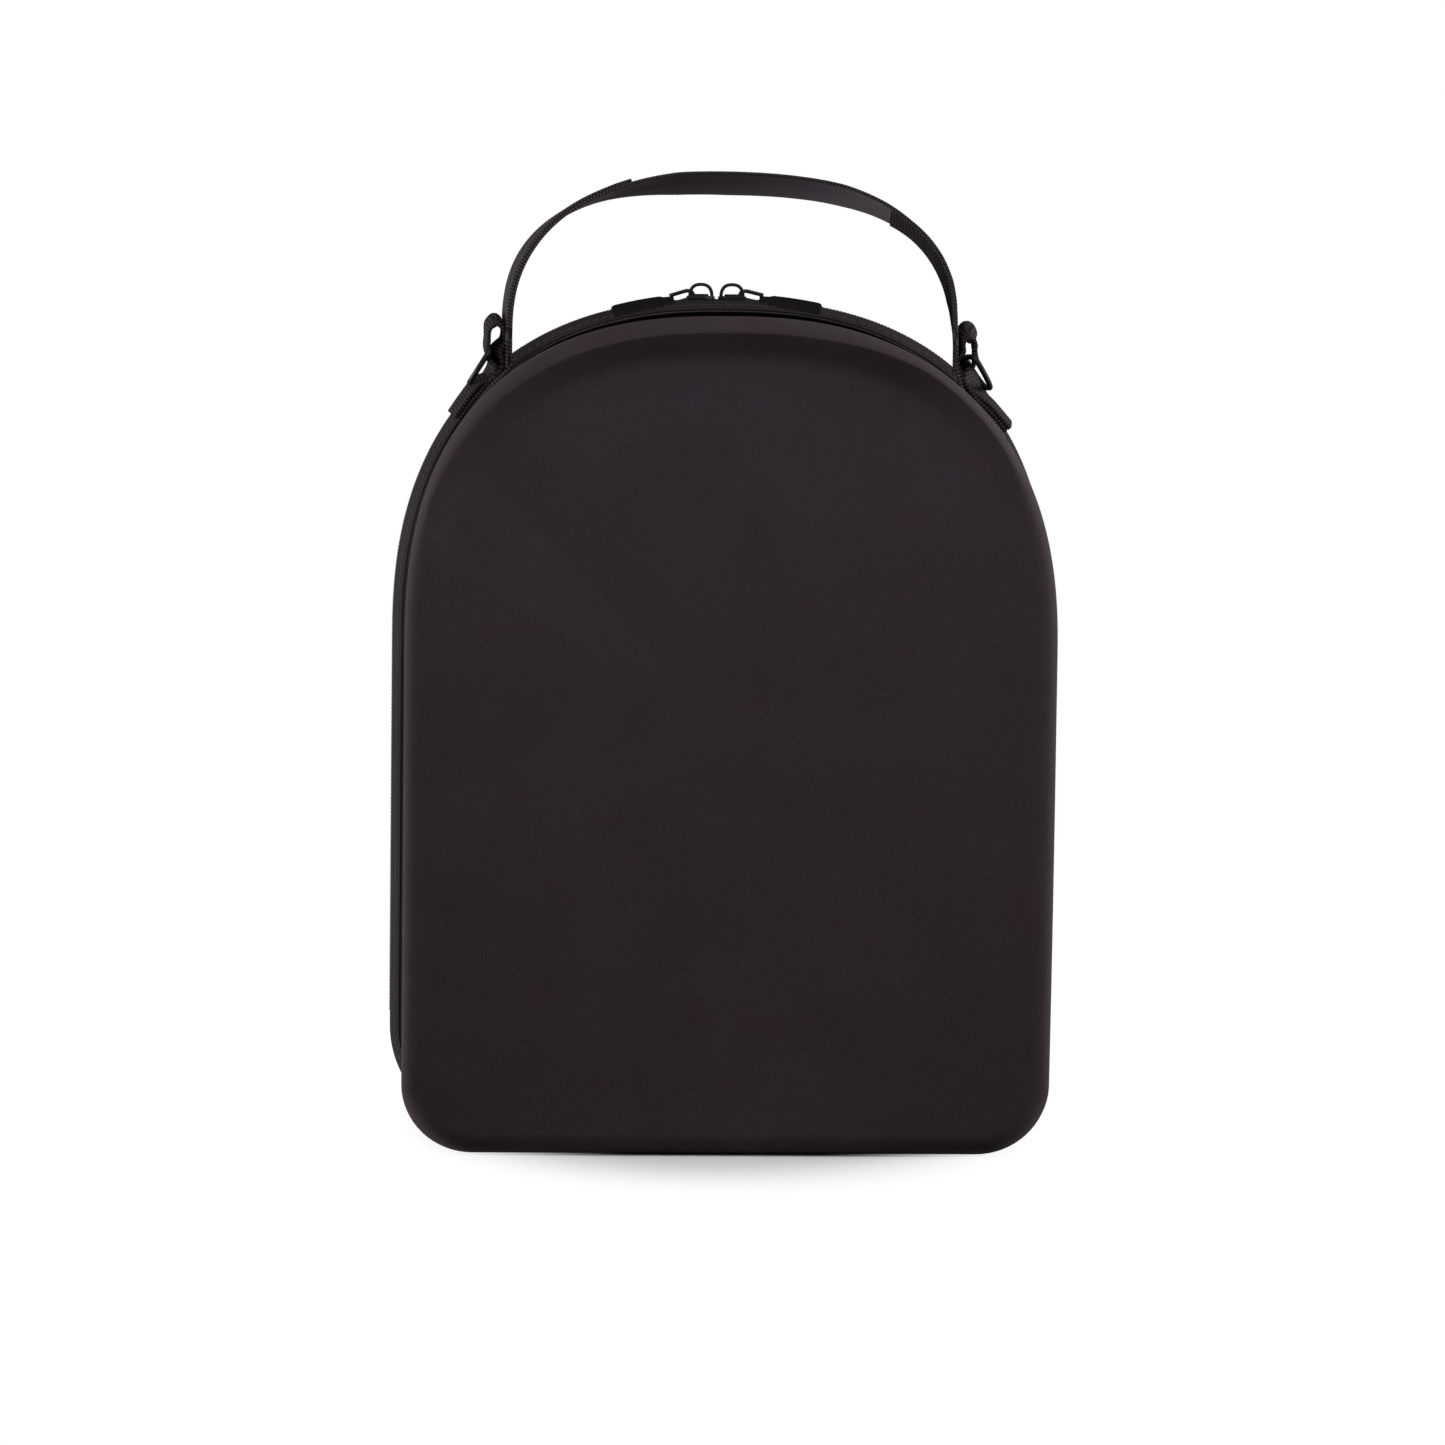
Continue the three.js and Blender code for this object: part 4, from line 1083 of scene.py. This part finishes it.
def moulded(name, dark, light, worn, spec, rough, grain_scale, grain_depth):
    """Moulded or lacquered surface with a fine grain and edges rubbed lighter here and there."""
    shader = Shader(name, Specular_IOR_Level=spec)
    broad = shader.noise(60.0, 4.0)
    fine = shader.noise(grain_scale, 3.0)
    edge = shader.within(shader.add("NewGeometry").outputs["Pointiness"], 0.54, 0.6)
    rubbed = shader.within(shader.noise(240.0, 3.0), 0.42, 0.62)
    wear = shader.math("MULTIPLY", edge, rubbed)
    tone = shader.math("ADD", broad, shader.math("MULTIPLY", wear, 0.5))
    shader.colour(tone, dark, light, worn=worn)
    shader.roughness(broad, *rough)
    return shader.finish(shader.bump(fine, grain_depth, 0.7))


# Shell cloth's hue drift: uneven dye in patches, and painted shade making the base redder and a little
# darker.
SHELL_CLOTH = cloth(
    "shell_cloth", (0.0140, 0.0097, 0.0121), (0.0208, 0.0148, 0.0181),
    across=0.9, along=0.9, depth=0.00008, spec=0.08, sheen=0.02, contrast=0.3, dye_and_shade=True,
)
RIM_CLOTH = cloth(
    "rim_cloth", (0.0180, 0.0140, 0.0160), (0.0300, 0.0245, 0.0275),
    across=1.1, along=1.1, depth=0.00014, spec=0.2, sheen=0.15,
)
TAPE_CLOTH = cloth(
    "zip_tape", (0.0060, 0.0045, 0.0054), (0.0185, 0.0147, 0.0170),
    across=1.3, along=1.0, depth=0.00020, contrast=0.5,
)
# Webbing: ribs=0.34 paints shade into the rib grooves and highlight onto the crests.
WEBBING = cloth(
    "webbing", (0.0065, 0.0051, 0.0060), (0.0290, 0.0237, 0.0278),
    across=1.2, along=0.75, depth=0.00010, ribs=0.34,
)
# Ring loops: the same webbing painted darker, which is painted shade on the loops and their pads;
# ribs=0.34 paints shade into the rib grooves.
LOOP_WEBBING_PAINTED_SHADE = cloth(
    "loop_webbing_painted_shade", (0.0035, 0.0026, 0.0030), (0.0180, 0.0140, 0.0163),
    across=1.2, along=0.75, depth=0.00010, ribs=0.34,
)
# Strap's under face: the webbing in a much lighter tone, which is painted sheen and painted light
# bounced up from the floor; its ribs=0.05 paints faint shade into the rib grooves.
STRAP_UNDERSIDE_PAINTED_SHEEN = cloth(
    "strap_underside_painted_sheen", (0.0600, 0.0490, 0.0580), (0.0850, 0.0700, 0.0825),
    across=0.7, along=0.7, depth=0.00005, ribs=0.05,
)
THREAD = cloth(
    "thread", (0.0070, 0.0060, 0.0066), (0.0110, 0.0096, 0.0104),
    across=0.5, along=0.5, depth=0.00004, spec=0.3, sheen=0.1,
)
COIL_NYLON = moulded(
    "zip_coil", (0.005, 0.004, 0.005), (0.009, 0.008, 0.009), (0.014, 0.012, 0.013),
    spec=0.1, rough=(0.6, 0.75), grain_scale=700.0, grain_depth=0.00002,
)
BLACK_METAL = moulded(
    "black_metal", (0.004, 0.004, 0.005), (0.008, 0.008, 0.009), (0.03, 0.03, 0.032),
    spec=0.08, rough=(0.42, 0.55), grain_scale=500.0, grain_depth=0.00001,
)
PULL_RUBBER = moulded(
    "pull_rubber", (0.0020, 0.0014, 0.0016), (0.0042, 0.0032, 0.0036), (0.012, 0.0095, 0.0105),
    spec=0.05, rough=(0.55, 0.7), grain_scale=900.0, grain_depth=0.00003,
)


def place(obj, material, nodes=(), body="carrier"):
    """Give a piece its materials and body, and hide the imported nodes that it stands for."""
    for each in material if isinstance(material, tuple) else (material,):
        obj.data.materials.append(each)
    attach(obj, body)
    if nodes:
        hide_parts(*nodes)


place(back_shell(), (SHELL_CLOTH, RIM_CLOTH), ["back_shell"])
place(front_shell(), (SHELL_CLOTH, RIM_CLOTH), ["front_shell"])
place(zip_tape("zip_tape_back_woven", -1), TAPE_CLOTH, ["zip_tape_back"])
place(zip_tape("zip_tape_front_woven", 1), TAPE_CLOTH, ["zip_tape_front"])
place(zip_coil("zip_coil_teeth"), COIL_NYLON, ["zip_coil"])
place(hinge_strip("hinge_strip_woven"), TAPE_CLOTH, ["hinge_strip"])
place(rim_stitches("rim_stitches_back", -1), THREAD)
place(rim_stitches("rim_stitches_front", 1), THREAD)
# The strap's under face takes the lighter tone: painted sheen and painted bounce light.
place(strap("strap_webbing"), (WEBBING, STRAP_UNDERSIDE_PAINTED_SHEEN), ["strap"])
for hand in SIGNS:
    double = strap_double("strap_double_webbing_" + hand, hand)
    place(double, WEBBING, ["strap_double_" + hand])
    loop = ring_loop("ring_loop_webbing_" + hand, hand)
    # The loop takes the darker webbing, which is painted shade.
    place(loop, LOOP_WEBBING_PAINTED_SHADE, ["ring_loop_" + hand])
    ring = d_ring("d_ring_wire_" + hand, hand)
    place(ring, BLACK_METAL, ["d_ring_" + hand], "ring_" + hand)
    place(slider("zip_slider_body_" + hand, hand), BLACK_METAL, ["zip_slider_" + hand])
    place(link("zip_link_wire_" + hand, hand), BLACK_METAL, ["zip_link_" + hand])
    place(pull("zip_pull_moulded_" + hand, hand), PULL_RUBBER, ["zip_pull_" + hand])


# Camera: 2 m from the case's middle, a little to the left and looking slightly down
CAMERA_DISTANCE = 2.0
CAMERA_SIDE = 0.00075
CAMERA_HEIGHT = 0.318
CAMERA_PITCH = math.radians(4.885)
CAMERA_YAW = math.radians(2.9)
CAMERA_ROLL = math.radians(0.7)
FOCAL_PIXELS = 5551.4
IMAGE_PIXELS = 1445.0
SENSOR = 36.0


def stand(name, data, axes, spot):
    """Add a camera or light at a spot, turned to its three axes."""
    matrix = np.eye(4)
    matrix[:3] = np.stack([*axes, spot], 1)
    obj = bpy.data.objects.new(name, data)
    obj.matrix_world = Matrix(matrix.tolist())
    bpy.context.scene.collection.objects.link(obj)
    return obj


def add_camera():
    level = np.array([math.sin(CAMERA_YAW), math.cos(CAMERA_YAW), 0.0])
    right = np.array([level[1], -level[0], 0.0])
    spot = CAMERA_SIDE * right - CAMERA_DISTANCE * level + (0.0, 0.0, CAMERA_HEIGHT)
    forward = level * math.cos(CAMERA_PITCH) - (0.0, 0.0, math.sin(CAMERA_PITCH))
    up = np.cross(right, forward)
    turned_right = right * math.cos(CAMERA_ROLL) + up * math.sin(CAMERA_ROLL)
    turned_up = up * math.cos(CAMERA_ROLL) - right * math.sin(CAMERA_ROLL)
    data = bpy.data.cameras.new("camera")
    data.sensor_width = SENSOR
    data.lens = FOCAL_PIXELS / IMAGE_PIXELS * SENSOR
    bpy.context.scene.camera = stand("camera", data, (turned_right, turned_up, -forward), spot)


# Lights: name, place, what it faces, size in metres and power in watts
LIGHTS = (
    ("key", (0.0, -0.8, 1.1), (0.0, -0.05, 0.2), (0.9, 0.7), 21.0),
    ("left", (-1.8, 0.25, -0.1), (0.0, 0.0, 0.15), (0.8, 1.2), 78.0),
    ("right", (1.6, 0.05, 0.4), (0.0, 0.0, 0.15), (0.6, 1.2), 64.0),
)
LIGHT_UP = (0.0, 1.0, 0.001)


def add_light(name, spot, aim, size, power):
    data = bpy.data.lights.new(name, "AREA")
    data.shape = "RECTANGLE"
    data.size, data.size_y = size
    data.energy = power
    back = unit(np.array(spot) - np.array(aim))
    side = unit(np.cross(LIGHT_UP, back))
    stand(name, data, (side, np.cross(back, side), back), spot)


FLOOR_REACH = (0.118, 0.155)
FLOOR_FADE = (0.5, 1.0)
FLOOR_RADII = (0.2, 0.35, 0.5)
FLOOR_SIDES = 96


def add_floor():
    """Pale floor that fades into the white surroundings away from the case."""
    turn = 2 * math.pi * np.arange(FLOOR_SIDES) / FLOOR_SIDES
    circle = np.stack([np.cos(turn), np.sin(turn), np.zeros(FLOOR_SIDES)], 1)
    points = np.concatenate([radius * circle for radius in FLOOR_RADII]) / MM
    faces = [tuple(range(FLOOR_SIDES))]
    for near in range(0, len(points) - FLOOR_SIDES, FLOOR_SIDES):
        far = near + FLOOR_SIDES
        for j in range(FLOOR_SIDES):
            k = (j + 1) % FLOOR_SIDES
            faces.append((near + j, far + j, far + k, near + k))
    floor = make_object("floor", points, faces)
    shader = Shader("floor", Base_Color=(0.42, 0.42, 0.42, 1), Roughness=0.9, Specular_IOR_Level=0.1)
    where = shader.add("TexCoord").outputs["Object"]
    reach = (1 / FLOOR_REACH[0], 1 / FLOOR_REACH[1], 0.0)
    share = shader.add("VectorMath", {"operation": "MULTIPLY"}, i0=where, i1=reach).outputs[0]
    far = shader.add("VectorMath", {"operation": "LENGTH"}, i0=share).outputs["Value"]
    near, end = FLOOR_FADE
    fade = shader.add("MapRange", {"interpolation_type": "SMOOTHSTEP"}, Value=far, i1=near, i2=end)
    clear = shader.add("BsdfTransparent").outputs[0]
    mix = shader.add("MixShader", i0=fade.outputs[0], i1=shader.surface.outputs[0], i2=clear).outputs[0]
    shader.tree.links.new(mix, shader.tree.nodes["Material Output"].inputs["Surface"])
    floor.data.materials.append(shader.material)


WORLD_SEEN = 1.0
WORLD_LIGHT = 0.21


def add_world():
    """White surroundings that light the case more softly than they look."""
    world = bpy.data.worlds.new("surroundings")
    world.use_nodes = True
    tree = world.node_tree
    shades = (tree.nodes["Background"], tree.nodes.new("ShaderNodeBackground"))
    ray = tree.nodes.new("ShaderNodeLightPath")
    mix = tree.nodes.new("ShaderNodeMixShader")
    tree.links.new(ray.outputs["Is Camera Ray"], mix.inputs[0])
    for i, strength in enumerate((WORLD_LIGHT, WORLD_SEEN)):
        shades[i].inputs["Color"].default_value = (1, 1, 1, 1)
        shades[i].inputs["Strength"].default_value = strength
        tree.links.new(shades[i].outputs[0], mix.inputs[i + 1])
    tree.links.new(mix.outputs[0], tree.nodes["World Output"].inputs["Surface"])
    bpy.context.scene.world = world


add_camera()
add_world()
add_floor()
for light_row in LIGHTS:
    add_light(*light_row)
bpy.context.scene.view_settings.view_transform = "Standard"
